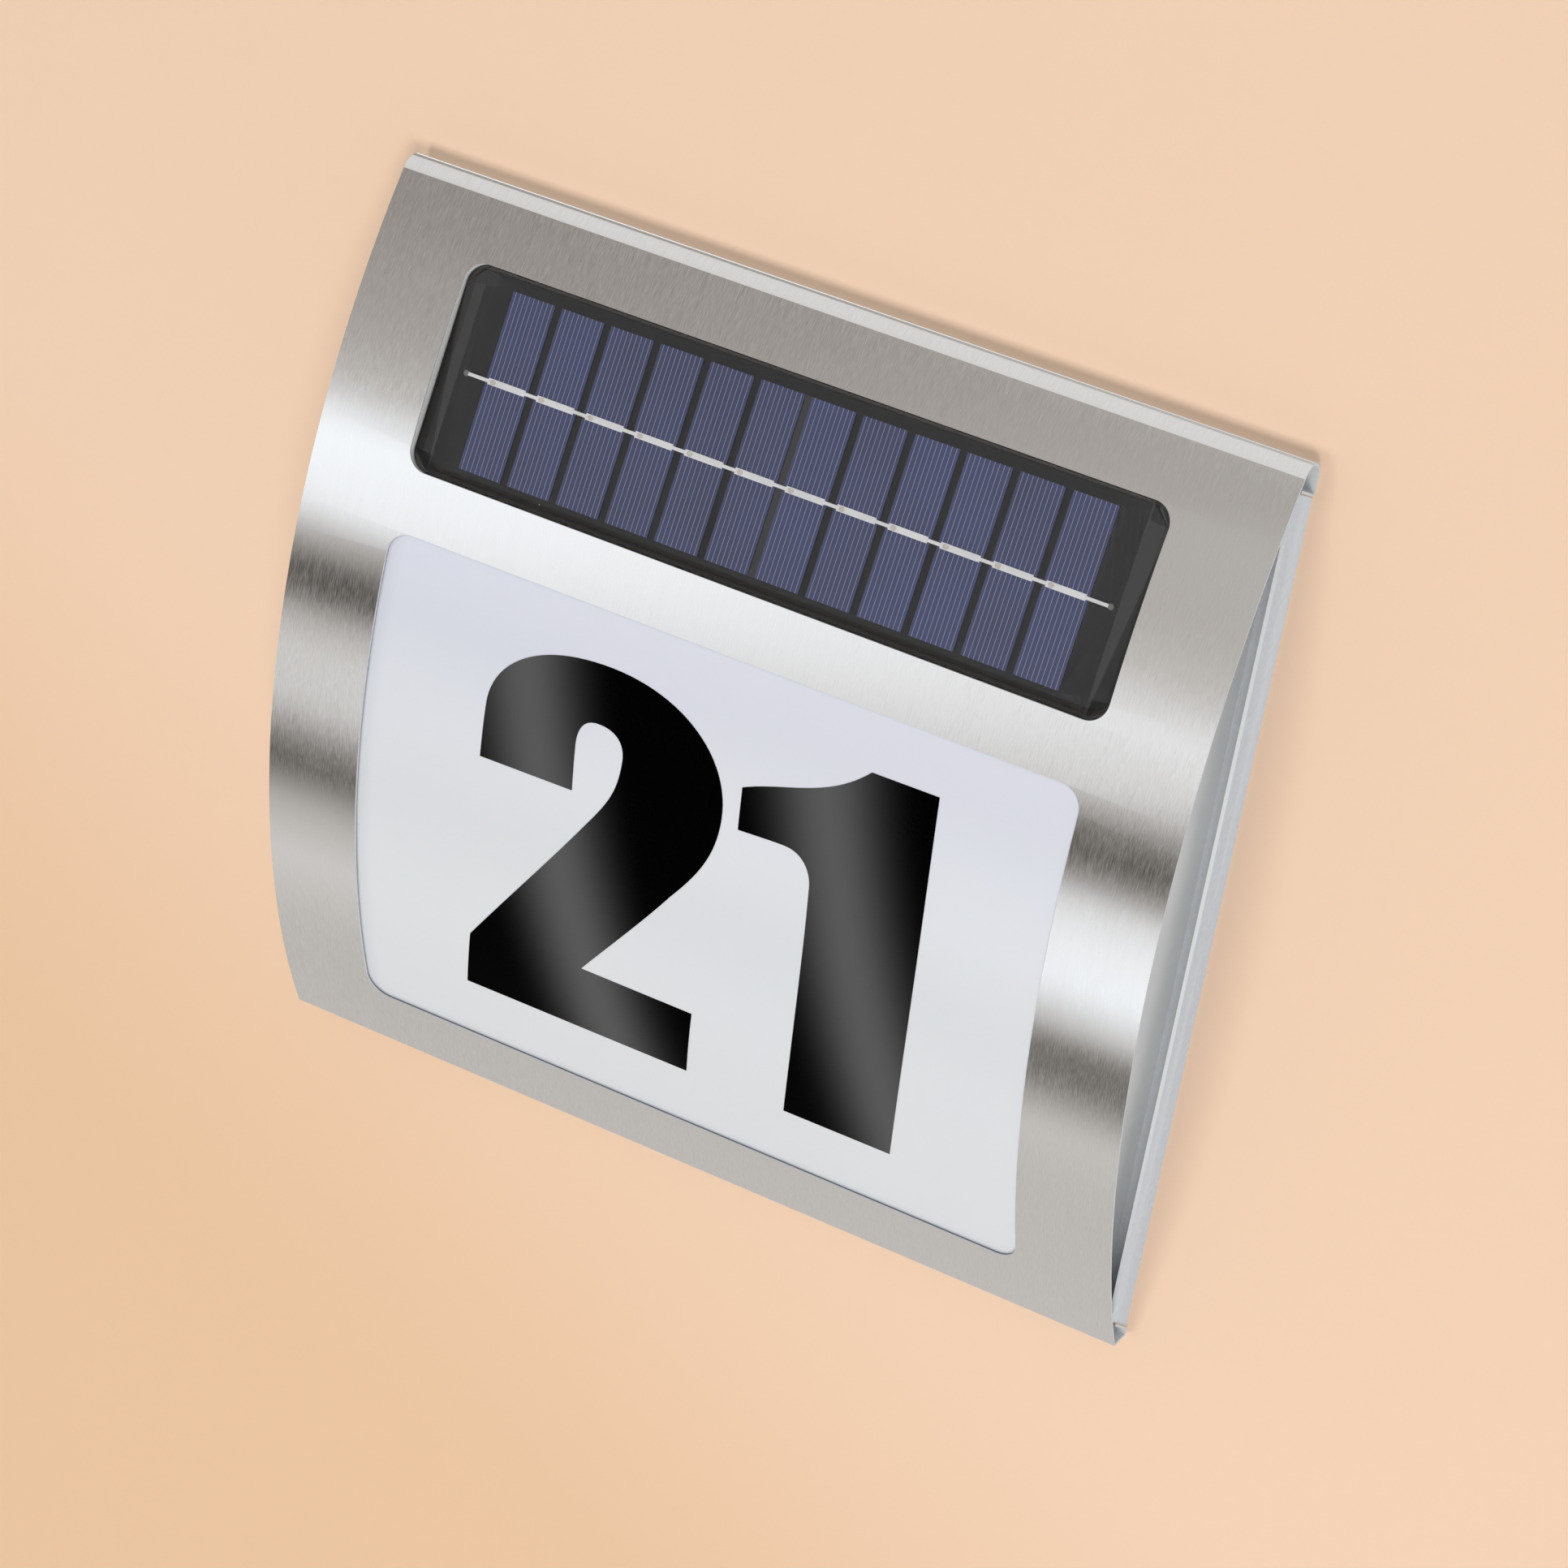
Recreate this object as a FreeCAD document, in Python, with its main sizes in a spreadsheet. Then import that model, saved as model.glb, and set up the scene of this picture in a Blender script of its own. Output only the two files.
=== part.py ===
import FreeCAD, Part
import math
import os
import re
import Sketcher
from types import SimpleNamespace

# Solar house number sign for a wall, in millimetres.
#
# X runs to the right along the wall, Y runs into the wall and Z runs up. The wall is the
# plane y = 0, and z = 0 is the height where the curved steel front stands out furthest.
#
# A bowed steel cover, folded into a tube along its top and bottom edges, hangs on a steel
# back plate. A moulded lamp housing between the two holds an opal number window with its
# light chamber below, and a solar panel with the rechargeable cell and circuit board above.

Vector = FreeCAD.Vector
Rotation = FreeCAD.Rotation

X_AXIS = Vector(1, 0, 0)
Y_AXIS = Vector(0, 1, 0)
Z_AXIS = Vector(0, 0, 1)

document = FreeCAD.newDocument("house_number_sign")
sheet = document.addObject("Spreadsheet::Sheet", "Sizes")

SIZES = {
    # Steel cover: one sheet bowed to a circle and folded at both ends.
    "cover_width": 200.0,
    "cover_radius": 190.2,
    "cover_depth": 33.8,
    "sheet_thickness": 0.5,
    "fold_rear_gap": 0.15,
    "crest_bend": 4.2,
    "heel_bend": 1.0,
    "top_tube_height": 3.45,
    "top_return_angle": 22.0,
    "top_return_reach": 8.1,
    "tip_depth": 5.5,
    "tip_bend": 1.0,
    "corner_bend": 1.0,
    "corner_rise": 0.05,
    "bottom_return_angle": 32.0,
    "bottom_return_reach": 8.3,
    "cover_gap": 0.3,
    # Openings in the cover. A lip of the cover hides the rim of the housing behind each.
    "window_top": 30.4,
    "window_side_lip": 2.5,
    "window_top_lip": 2.1,
    "window_low_lip": 0.4,
    "window_corner": 5.0,
    "slot_height": 43.8,
    "slot_crest_margin": 12.82,
    "slot_wall": 6.0,
    "slot_corner": 4.5,
    # Steel back plate.
    "plate_side_gap": 0.4,
    "plate_thickness": 0.8,
    "plate_bend": 1.2,
    "fold_clearance": 0.3,
    "flange_depth": 10.0,
    "top_flange_reach": 6.0,
    "bottom_flange_reach": 6.2,
    # Lamp housing.
    "housing_side_gap": 6.0,
    "housing_top_gap": 0.944,
    "housing_bottom_gap": 6.374,
    "housing_wall": 1.8,
    "housing_floor": 3.0,
    "light_bottom_wall": 4.0,
    "channel_width": 7.6,
    "channel_top_wall": 5.5,
    "channel_bottom_wall": 6.5,
    # Number window and reflector.
    "pane_thickness": 2.0,
    "pane_lap": 2.2,
    "pane_wall": 1.2,
    "pane_play": 0.2,
    "pane_seat_gap": 0.1,
    "reflector_thickness": 0.3,
    "reflector_play": 0.5,
    # Solar panel.
    "panel_play": 0.3,
    "panel_proud": 0.35,
    "panel_corner": 4.2,
    "resin_thickness": 1.3,
    "resin_edge": 0.9,
    "panel_board_thickness": 1.6,
    "seal_thickness": 0.7,
    "seal_lap": 2.6,
    "panel_ledge": 3.1,
    "panel_end_ledge": 1.3,
    "cell_count": 12,
    "cell_row_margin": 10.2,
    "cell_gap": 1.6,
    "cell_end_margin": 3.4,
    "cell_thickness": 0.2,
    "ribbon_end": 3.3,
    "ribbon_pad_margin": 0.6,
    "ribbon_width": 0.7,
    "ribbon_pad_width": 1.3,
    "ribbon_thickness": 0.15,
    "optical_gap": 0.05,
    # Rechargeable cell and its contacts.
    "battery_radius": 7.1,
    "battery_length": 49.2,
    "nub_radius": 2.75,
    "nub_height": 1.0,
    "battery_inset": 13.5,
    "battery_height": 51.4,
    "battery_wall_gap": 0.8,
    "bay_wall": 1.5,
    "bay_rim_depth": 17.2,
    "contact_thickness": 0.5,
    "contact_size": 9.0,
    "contact_air": 0.1,
    "spring_gap": 6.3,
    "spring_wire_radius": 0.35,
    "spring_radius": 4.2,
    "spring_turns": 4,
    # Battery door.
    "door_opening_play": 0.8,
    "door_lap": 2.0,
    "door_screw_reach": 5.8,
    "door_tab": 3.4,
    "door_play": 0.3,
    "door_thickness": 1.6,
    "door_seal": 0.7,
    "door_inset": 0.3,
    "door_corner": 3.0,
    "door_screw_radius": 1.2,
    "door_screw_length": 5.6,
    "door_head_radius": 2.4,
    "door_head_height": 0.8,
    "door_boss_radius": 2.8,
    "screw_play": 0.08,
    "head_crown": 0.6,
    "cutout_margin": 0.6,
    # Circuit board with its switch.
    "board_gap": 2.5,
    "board_side_gap": 9.5,
    "board_low_gap": 3.0,
    "board_high_gap": 4.5,
    "board_thickness": 1.6,
    "board_stand": 4.2,
    "post_radius": 2.2,
    "post_inset": 3.2,
    "board_screw_radius": 1.0,
    "board_head_radius": 1.9,
    "board_head_height": 1.2,
    "low_row": 7.0,
    "high_row": 17.0,
    "coil_place": 14.0,
    "coil_radius": 3.2,
    "coil_waist": 2.4,
    "coil_rim": 1.0,
    "coil_slope": 0.4,
    "coil_height": 4.4,
    "capacitor_place": 24.0,
    "capacitor_radius": 2.5,
    "capacitor_height": 5.2,
    "capacitor_bevel": 0.4,
    "chip_place": 40.0,
    "chip_length": 5.0,
    "chip_width": 4.0,
    "chip_height": 1.5,
    "diode_count": 2,
    "diode_place": 18.0,
    "diode_pitch": 6.0,
    "diode_length": 3.6,
    "diode_width": 1.6,
    "diode_height": 1.0,
    "switch_rise": 7.5,
    "switch_length": 10.0,
    "switch_width": 4.4,
    "switch_depth": 3.6,
    "switch_travel": 3.0,
    "knob_length": 3.0,
    "knob_width": 1.8,
    "knob_root": 1.6,
    "knob_play": 0.3,
    "finger_length": 14.0,
    "finger_width": 8.0,
    "finger_depth": 1.7,
    "finger_corner": 2.0,
    # Lamps.
    "lamp_board_end_gap": 11.0,
    "lamp_board_width": 10.0,
    "lamp_board_thickness": 1.6,
    "lamp_board_rear": 12.0,
    "lamp_count": 6,
    "lamp_end_margin": 10.0,
    "lamp_radius": 1.9,
    "lamp_base": 1.4,
    "lamp_height": 2.9,
    "lamp_bevel": 0.5,
    "lamp_shoulder": 1.4,
    "lamp_crown": 0.7,
    # Leads between the pieces.
    "lead_place": 33.0,
    "lead_hole_radius": 2.4,
    "lead_radius": 0.6,
    "lead_pair_pitch": 1.5,
    "lead_play": 0.4,
    "lead_lift": 4.2,
    "panel_lead_inset": 10.0,
    # Fasteners through the housing and the cover.
    "wall_hole_radius": 2.1,
    "wall_hole_height": 60.0,
    "housing_screw_height": 30.0,
    "housing_screw_radius": 1.5,
    "housing_head_radius": 2.8,
    "housing_head_height": 1.8,
    "cover_screw_spacing": 150.0,
    "cover_screw_radius": 0.9,
    "cover_screw_rear": 2.3,
    "cover_screw_proud": 0.8,
    "cover_screw_tip_gap": 1.0,
    "cover_screw_hex": 0.5,
}

for row, (alias, number) in enumerate(SIZES.items(), start=1):
    sheet.set(f"A{row}", alias)
    sheet.set(f"B{row}", str(number))
    sheet.setAlias(f"B{row}", alias)
document.recompute()

# Sizes that follow from those above. Planes that face the room are given as y, so they are negative.
FOLLOWING = {
    "far_front": "-(cover_depth + crest_bend)",
    "floor_rear": "-plate_thickness",
    "floor_front": "-(plate_thickness + housing_floor)",
    # The bow of the cover, and the bends that end it above and below.
    "bow_axis": "cover_radius - cover_depth",
    "inner_radius": "cover_radius - sheet_thickness",
    "housing_radius": "inner_radius - cover_gap",
    "pane_seat_radius": "housing_radius - pane_thickness - pane_seat_gap",
    "crest_height": "sqrt((cover_radius - crest_bend) ^ 2 - (bow_axis + fold_rear_gap + crest_bend) ^ 2)",
    "heel_height": "crest_height - top_tube_height",
    "tip_height": "sqrt((cover_radius - tip_bend) ^ 2 - (bow_axis + tip_depth) ^ 2)",
    "tip_drop": "tip_height + tip_bend",
    "corner_drop": "tip_height - corner_rise",
    # Back plate: its two bends stand a clearance away from the cover's folds.
    "plate_half": "cover_width / 2 - plate_side_gap",
    "top_bend_height": (
        "heel_height + heel_bend - (heel_bend + fold_clearance + plate_bend"
        " + (fold_rear_gap + heel_bend - plate_bend) * sin(top_return_angle)) / cos(top_return_angle)"
    ),
    "bottom_bend_height": (
        "(corner_bend + fold_clearance + plate_bend"
        " - (fold_rear_gap + corner_bend - plate_bend) * sin(bottom_return_angle))"
        " / cos(bottom_return_angle) - corner_drop"
    ),
    # Housing, from its outside inwards.
    "housing_width": "cover_width - 2 * housing_side_gap",
    "housing_top": "top_bend_height - housing_top_gap",
    "housing_bottom": "-bottom_bend_height - housing_bottom_gap",
    "channel_outer": "housing_width / 2 - housing_wall",
    "channel_centre": "channel_outer - channel_width / 2",
    "channel_inner": "channel_outer - channel_width",
    "channel_top": "housing_top - channel_top_wall",
    "channel_bottom": "housing_bottom - channel_bottom_wall",
    # Light chamber, and the window in front of it.
    "light_width": "2 * (channel_inner - pane_wall - pane_play - pane_lap)",
    "light_top": "window_top + window_top_lip",
    "light_bottom": "housing_bottom - light_bottom_wall",
    "window_width": "light_width - 2 * window_side_lip",
    "window_bottom": "light_bottom - window_low_lip",
    # Solar panel: its slot ends a margin below the crest. Distances are from the axis of the bow.
    "crest_angle": "asin(crest_height / (cover_radius - crest_bend)) / 1deg",
    "slot_half_angle": "asin(slot_height / 2 / cover_radius) / 1deg",
    "panel_angle": "crest_angle - slot_half_angle - slot_crest_margin / cover_radius * 180 / pi",
    "slot_width": "2 * (channel_inner - slot_wall)",
    "panel_front": "sqrt(cover_radius ^ 2 - (slot_height / 2) ^ 2) + panel_proud",
    "panel_face": "panel_front - resin_thickness",
    "panel_rear": "panel_face - panel_board_thickness",
    "panel_seat": "panel_rear - seal_thickness",
    "panel_top": "panel_seat * sin(panel_angle) + slot_height / 2 * cos(panel_angle)",
    "cell_pitch": "(slot_width - 2 * cell_row_margin) / cell_count",
    "cell_width": "cell_pitch - cell_gap",
    "cell_height": "slot_height - 2 * cell_end_margin",
    "ribbon_length": "cell_count * cell_pitch + 2 * ribbon_end",
    "ribbon_pad_length": "cell_width - 2 * ribbon_pad_margin",
    # Chamber behind the panel, and the bay for the rechargeable cell in it.
    "power_width": "slot_width - 2 * panel_ledge",
    "power_bottom": "battery_height - battery_radius - battery_wall_gap",
    "power_top": "panel_top - panel_end_ledge",
    "battery_depth": "plate_thickness + housing_floor + battery_radius",
    "battery_left": "battery_inset - power_width / 2",
    "bay_left": "battery_left - spring_gap - contact_thickness - contact_air",
    "bay_right": "battery_left + battery_length + nub_height + contact_thickness + 2 * contact_air",
    "bay_high": "battery_height + battery_radius + battery_wall_gap",
    "cell_lead_depth": "battery_depth + lead_lift / 2",
    "door_outer": "-door_inset",
    "door_inner": "door_outer - door_thickness",
    "door_ledge": "door_inner - door_seal",
    # Circuit board to the right of the bay, with the switch on its back.
    "board_left": "bay_right + door_screw_reach + door_boss_radius + board_gap",
    "board_width": "power_width / 2 - board_side_gap - board_left",
    "board_bottom": "power_bottom + board_low_gap",
    "board_top": "power_top - board_high_gap",
    "board_rear": "floor_front - board_stand",
    "board_face": "board_rear - board_thickness",
    "switch_centre": "board_left + board_width / 2",
    "switch_height": "board_bottom + switch_rise",
    "knob_left": "switch_centre - (knob_length + switch_travel) / 2",
    # Lamps under the roof of the light chamber.
    "lamp_axis": "-(lamp_board_rear + lamp_board_width / 2)",
    "lamp_board_length": "light_width - 2 * lamp_board_end_gap",
    "lamp_pitch": "(lamp_board_length - 2 * lamp_end_margin) / (lamp_count - 1)",
    "lead_across": "board_left + lead_place",
}


def formula(text):
    """Point each named size of a formula at its cell, or at the value that follows from cells."""

    def source(found):
        return ("Derived." if found.group(0) in FOLLOWING else "Sizes.") + found.group(0)

    return re.sub(r"[a-z]+(?:_[a-z]+)+", source, text)


derived = document.addObject("App::VarSet", "Derived")
for alias, text in FOLLOWING.items():
    derived.addProperty("App::PropertyFloat", alias, "Derived")
    derived.setExpression(alias, formula(text))
document.recompute()

# The same values as plain numbers, for first guesses in sketches and for routed leads.
size = SimpleNamespace(**{alias: float(getattr(sheet, alias)) for alias in SIZES})
for alias in FOLLOWING:
    setattr(size, alias, getattr(derived, alias))

NODES = {}


def bind(item, **formulas):
    for name, text in formulas.items():
        item.setExpression(name, formula(text))


def place(item, x="0", y="0", z="0"):
    for axis, text in zip("xyz", (x, y, z)):
        item.setExpression(".Placement.Base." + axis, formula(text))


def keep(node, item):
    """Name a finished sub-part."""
    item.Label = node
    NODES[node] = item
    return item


def box(name, x, y, z):
    """A block from one plane to another along each axis."""
    block = document.addObject("Part::Box", name)
    place(block, x[0], y[0], z[0])
    bind(
        block,
        Length=f"({x[1]}) - ({x[0]})",
        Width=f"({y[1]}) - ({y[0]})",
        Height=f"({z[1]}) - ({z[0]})",
    )
    return block


# Lengths below this count as nothing.
TOUCH = 1e-6

TURNS = {
    "x": Rotation(Y_AXIS, 90),
    "y": Rotation(X_AXIS, -90),
    "z": Rotation(),
}


def rod(name, along, span, radius, x="0", y="0", z="0"):
    """A cylinder along one axis, from one plane to another."""
    cylinder = document.addObject("Part::Cylinder", name)
    cylinder.Placement = FreeCAD.Placement(Vector(), TURNS[along])
    centre = {"x": x, "y": y, "z": z}
    centre[along] = span[0]
    place(cylinder, **centre)
    bind(cylinder, Radius=radius, Height=f"({span[1]}) - ({span[0]})")
    return cylinder


def fuse(name, pieces):
    joined = document.addObject("Part::MultiFuse", name)
    joined.Shapes = pieces
    joined.Refine = True
    return joined


def group(name, pieces):
    together = document.addObject("Part::Compound", name)
    together.Links = pieces
    return together


def cut(name, base, tools):
    result = document.addObject("Part::Cut", name)
    result.Base = base
    result.Tool = tools[0] if len(tools) == 1 else group(name + "_tools", tools)
    result.Refine = True
    return result


def common(name, first, second):
    result = document.addObject("Part::Common", name)
    result.Base = first
    result.Tool = second
    result.Refine = True
    return result


def lean(item):
    """Swing a piece about the axis of the bow, up to the middle of the solar panel."""
    item.Placement = FreeCAD.Placement(Vector(), Rotation(Vector(-1, 0, 0), size.panel_angle))
    item.setExpression(".Placement.Rotation.Angle", formula("panel_angle"))
    place(
        item,
        y="bow_axis * (1 - cos(panel_angle))",
        z="bow_axis * sin(panel_angle)",
    )
    return item


def along(shape, direction):
    """Names of the straight edges that run in one direction."""
    names = []
    for number, edge in enumerate(shape.Edges, start=1):
        if isinstance(edge.Curve, Part.Line) and edge.Curve.Direction.cross(direction).Length < TOUCH:
            names.append(f"Edge{number}")
    return names


def rims(shape, height, axis):
    """Names of the edges that lie at one height along an axis, given by its number."""
    names = []
    for number, edge in enumerate(shape.Edges, start=1):
        if all(abs(vertex.Point[axis] - height) < TOUCH for vertex in edge.Vertexes):
            names.append(f"Edge{number}")
    return names


NORMALS = {"XY": Z_AXIS, "XZ": Y_AXIS, "YZ": X_AXIS}


def sketch_on(body, plane, offset):
    """A sketch on one of the body's own planes, moved along that plane's normal."""
    role = plane + "_Plane"
    base = next(item for item in body.Origin.OriginFeatures if item.Role == role)
    sketch = body.newObject("Sketcher::SketchObject", body.Name + "_sketch")
    sketch.AttachmentSupport = [(base, "")]
    sketch.MapMode = "FlatFace"
    sketch.setExpression(".AttachmentOffset.Base.z", formula(offset))
    return sketch


def outline(sketch, points):
    """A closed outline whose corners start on a circle and are then held by formulas."""
    count = len(points)
    angles = [2 * math.pi * turn / count for turn in range(count)]
    start = [Vector(math.cos(angle), math.sin(angle), 0) * size.cover_depth for angle in angles]
    for turn in range(count):
        sketch.addGeometry(Part.LineSegment(start[turn], start[(turn + 1) % count]))
    for turn in range(count):
        sketch.addConstraint(Sketcher.Constraint("Coincident", turn, 2, (turn + 1) % count, 1))
    for turn, point in enumerate(points):
        for kind, text, guess in zip(("DistanceX", "DistanceY"), point, start[turn]):
            number = sketch.addConstraint(Sketcher.Constraint(kind, turn, 1, guess))
            sketch.setExpression(f"Constraints[{number}]", formula(text))


def padded(name, plane, points, span):
    """A body with one padded outline, from one plane to another."""
    body = document.addObject("PartDesign::Body", name)
    # The sketch on XZ faces the viewer, so its pad runs towards lower y.
    offset = f"-({span[1]})" if plane == "XZ" else span[0]
    sketch = sketch_on(body, plane, offset)
    outline(sketch, points)
    pad = body.newObject("PartDesign::Pad", name + "_pad")
    pad.Profile = sketch
    bind(pad, Length=f"({span[1]}) - ({span[0]})")
    body.Tip = pad
    return body


def rounded(body, radius, edges):
    base = body.Tip
    fillet = body.newObject("PartDesign::Fillet", body.Name + "_round")
    fillet.Base = (base, edges)
    bind(fillet, Radius=radius)
    body.Tip = fillet
    return body


PLANE_OF = {"x": "YZ", "y": "XZ", "z": "XY"}


def slab(name, through, x, y, z, corner):
    """A block with its corners rounded where they run through it along one axis."""
    spans = {"x": x, "y": y, "z": z}
    across = [axis for axis in "xyz" if axis != through]
    low, high = zip(*(spans[axis] for axis in across))
    points = [(low[0], low[1]), (high[0], low[1]), (high[0], high[1]), (low[0], high[1])]
    body = padded(name, PLANE_OF[through], points, spans[through])
    document.recompute()
    return rounded(body, corner, along(body.Shape, NORMALS[PLANE_OF[through]]))


def turned(name, points):
    """A body turned about Z from half of its section, given as radius and height."""
    body = document.addObject("PartDesign::Body", name)
    sketch = sketch_on(body, "XZ", "0")
    outline(sketch, points)
    turn = body.newObject("PartDesign::Revolution", name + "_turn")
    turn.Profile = sketch
    turn.ReferenceAxis = (sketch, ["V_Axis"])
    turn.Angle = 360
    body.Tip = turn
    return body


def turned_to(body, direction, x, y, z):
    """Stand a turned body so that its own Z points in a direction."""
    body.Placement = FreeCAD.Placement(Vector(), Rotation(Z_AXIS, direction))
    place(body, x, y, z)
    return body


def mirrored_pair(formula_text):
    return [f"-({formula_text})", formula_text]


# How much of a straight run the arc at its corner may take up.
END_SHARE = 0.9
INNER_SHARE = 0.45


def lead(name, stops, radius):
    """A round lead along straight runs joined by the largest tangent arcs that fit."""
    edges = []
    last = stops[0]
    for before, corner, after in zip(stops, stops[1:], stops[2:]):
        inward = (before - corner).normalize()
        outward = (after - corner).normalize()
        half_turn = (math.pi - inward.getAngle(outward)) / 2
        setback = min(
            (before - corner).Length * (END_SHARE if before is stops[0] else INNER_SHARE),
            (after - corner).Length * (END_SHARE if after is stops[-1] else INNER_SHARE),
        )
        bend = setback / math.tan(half_turn)
        start = corner + inward * setback
        end = corner + outward * setback
        middle = (inward + outward).normalize()
        peak = corner + middle * (bend / math.cos(half_turn) - bend)
        edges.append(Part.LineSegment(last, start).toShape())
        edges.append(Part.Arc(start, peak, end).toShape())
        print(f"{name}: bend radius {bend:.1f}")
        last = end
    edges.append(Part.LineSegment(last, stops[-1]).toShape())
    path = Part.Wire(edges)
    section = Part.Wire([Part.Circle(stops[0], stops[1] - stops[0], radius).toShape()])
    tube = path.makePipeShell([section], True, False)
    expected = math.pi * radius**2 * path.Length
    print(f"{name}: volume {tube.Volume:.2f}, section times length {expected:.2f}")
    return tube


def from_axis(distance):
    """The depth of a plane at a distance from the axis of the bow, before leaning."""
    return f"bow_axis - ({distance})"


def arc_between(centre, start, end):
    """An arc that turns anticlockwise from start to end."""
    first = math.atan2(start.y - centre.y, start.x - centre.x)
    last = math.atan2(end.y - centre.y, end.x - centre.x)
    if last < first:
        last += 2 * math.pi
    return Part.ArcOfCircle(Part.Circle(centre, Z_AXIS, (start - centre).Length), first, last)


def chain(sketch, curves):
    """Add curves that run on smoothly from each to the next."""
    for curve in curves:
        sketch.addGeometry(curve)
    for number in range(len(curves) - 1):
        sketch.addConstraint(Sketcher.Constraint("Tangent", number, 2, number + 1, 1))


def hold(sketch, kind, *where, guess, text):
    """A dimension of a sketch, held by a formula."""
    number = sketch.addConstraint(Sketcher.Constraint(kind, *where, guess))
    sketch.setExpression(f"Constraints[{number}]", formula(text))


def folded_sheet(name, sketch, width, thickness):
    """A sheet bent along a path that runs on its inner face."""
    band = document.addObject("Part::Offset2D", name + "_band")
    band.Source = sketch
    band.Mode = "Skin"
    band.Fill = True
    bind(band, Value=thickness)
    extruded = document.addObject("Part::Extrusion", name + "_sheet")
    extruded.Base = band
    extruded.DirMode = "Custom"
    extruded.Dir = X_AXIS
    extruded.Symmetric = True
    extruded.Solid = True
    bind(extruded, LengthFwd=width)
    return extruded


def side_sketch(name):
    """A sketch seen from the side, with Y across and Z up."""
    sketch = document.addObject("Sketcher::SketchObject", name)
    sketch.Placement = FreeCAD.Placement(Vector(), Rotation(Vector(1, 1, 1), 120))
    return sketch


def cover_path():
    """Inner face of the cover: top tube, bowed front and bottom tube, as one chain."""
    sketch = side_sketch("cover_path")
    inner = size.cover_radius - size.sheet_thickness
    crest = size.crest_bend - size.sheet_thickness
    heel = size.heel_bend - size.sheet_thickness
    tip = size.tip_bend - size.sheet_thickness
    corner = size.corner_bend - size.sheet_thickness
    rear = -size.fold_rear_gap - size.sheet_thickness
    bow_centre = Vector(size.cover_radius - size.cover_depth, 0, 0)

    crest_y = rear - crest
    crest_centre = Vector(crest_y, math.sqrt((inner - crest) ** 2 - (bow_centre.x - crest_y) ** 2), 0)
    crest_start = bow_centre + (crest_centre - bow_centre).normalize() * inner
    crest_end = crest_centre + Vector(crest, 0, 0)

    heel_centre = Vector(rear - heel, size.heel_height + size.heel_bend, 0)
    slope = math.radians(size.top_return_angle)
    heel_end = heel_centre - Vector(math.sin(slope), math.cos(slope), 0) * heel
    heel_start = heel_centre + Vector(heel, 0, 0)
    top_run = (size.top_return_reach + heel_end.x) / math.cos(slope)
    top_end = heel_end + Vector(-math.cos(slope), math.sin(slope), 0) * top_run

    tip_z = size.tip_bend - size.tip_drop
    tip_centre = Vector(bow_centre.x - math.sqrt((inner - tip) ** 2 - tip_z**2), tip_z, 0)
    tip_start = bow_centre + (tip_centre - bow_centre).normalize() * inner
    corner_centre = Vector(rear - corner, -size.corner_drop, 0)
    base = corner_centre - tip_centre
    tilt = math.atan2(base.y, base.x) + math.asin((corner - tip) / base.Length)
    down = Vector(math.sin(tilt), -math.cos(tilt), 0)
    tip_end = tip_centre + down * tip
    corner_start = corner_centre + down * corner
    rise = math.radians(size.bottom_return_angle)
    corner_end = corner_centre + Vector(math.sin(rise), math.cos(rise), 0) * corner
    bottom_run = (size.bottom_return_reach + corner_end.x) / math.cos(rise)
    bottom_end = corner_end + Vector(-math.cos(rise), math.sin(rise), 0) * bottom_run

    chain(
        sketch,
        [
            Part.LineSegment(top_end, heel_end),
            arc_between(heel_centre, heel_end, heel_start),
            Part.LineSegment(heel_start, crest_end),
            arc_between(crest_centre, crest_end, crest_start),
            arc_between(bow_centre, crest_start, tip_start),
            arc_between(tip_centre, tip_start, tip_end),
            Part.LineSegment(tip_end, corner_start),
            arc_between(corner_centre, corner_start, corner_end),
            Part.LineSegment(corner_end, bottom_end),
        ],
    )
    top, heel_arc, rear_leg, crest_arc, bow, tip_arc, base_leg, corner_arc, bottom = range(9)
    sketch.addConstraint(Sketcher.Constraint("PointOnObject", bow, 3, -1))
    sketch.addConstraint(Sketcher.Constraint("Vertical", rear_leg))
    hold(sketch, "DistanceX", bow, 3, guess=bow_centre.x, text="bow_axis")
    hold(sketch, "Radius", bow, guess=inner, text="inner_radius")
    hold(sketch, "Radius", crest_arc, guess=crest, text="crest_bend - sheet_thickness")
    hold(sketch, "Radius", heel_arc, guess=heel, text="heel_bend - sheet_thickness")
    hold(sketch, "Radius", tip_arc, guess=tip, text="tip_bend - sheet_thickness")
    hold(sketch, "Radius", corner_arc, guess=corner, text="corner_bend - sheet_thickness")
    hold(sketch, "DistanceX", rear_leg, 1, guess=rear, text="-(fold_rear_gap + sheet_thickness)")
    hold(sketch, "DistanceY", heel_arc, 3, guess=heel_centre.y, text="heel_height + heel_bend")
    hold(sketch, "DistanceX", top, 1, guess=top_end.x, text="-top_return_reach")
    hold(sketch, "DistanceY", tip_arc, 3, guess=tip_z, text="tip_bend - tip_drop")
    hold(sketch, "DistanceX", corner_arc, 3, guess=corner_centre.x, text="-(fold_rear_gap + corner_bend)")
    hold(sketch, "DistanceY", corner_arc, 3, guess=corner_centre.y, text="-corner_drop")
    hold(sketch, "DistanceX", bottom, 2, guess=bottom_end.x, text="-bottom_return_reach")
    hold(sketch, "Angle", top, guess=-slope, text="-top_return_angle")
    hold(sketch, "Angle", bottom, guess=math.pi - rise, text="180 - bottom_return_angle")
    return sketch


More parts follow.
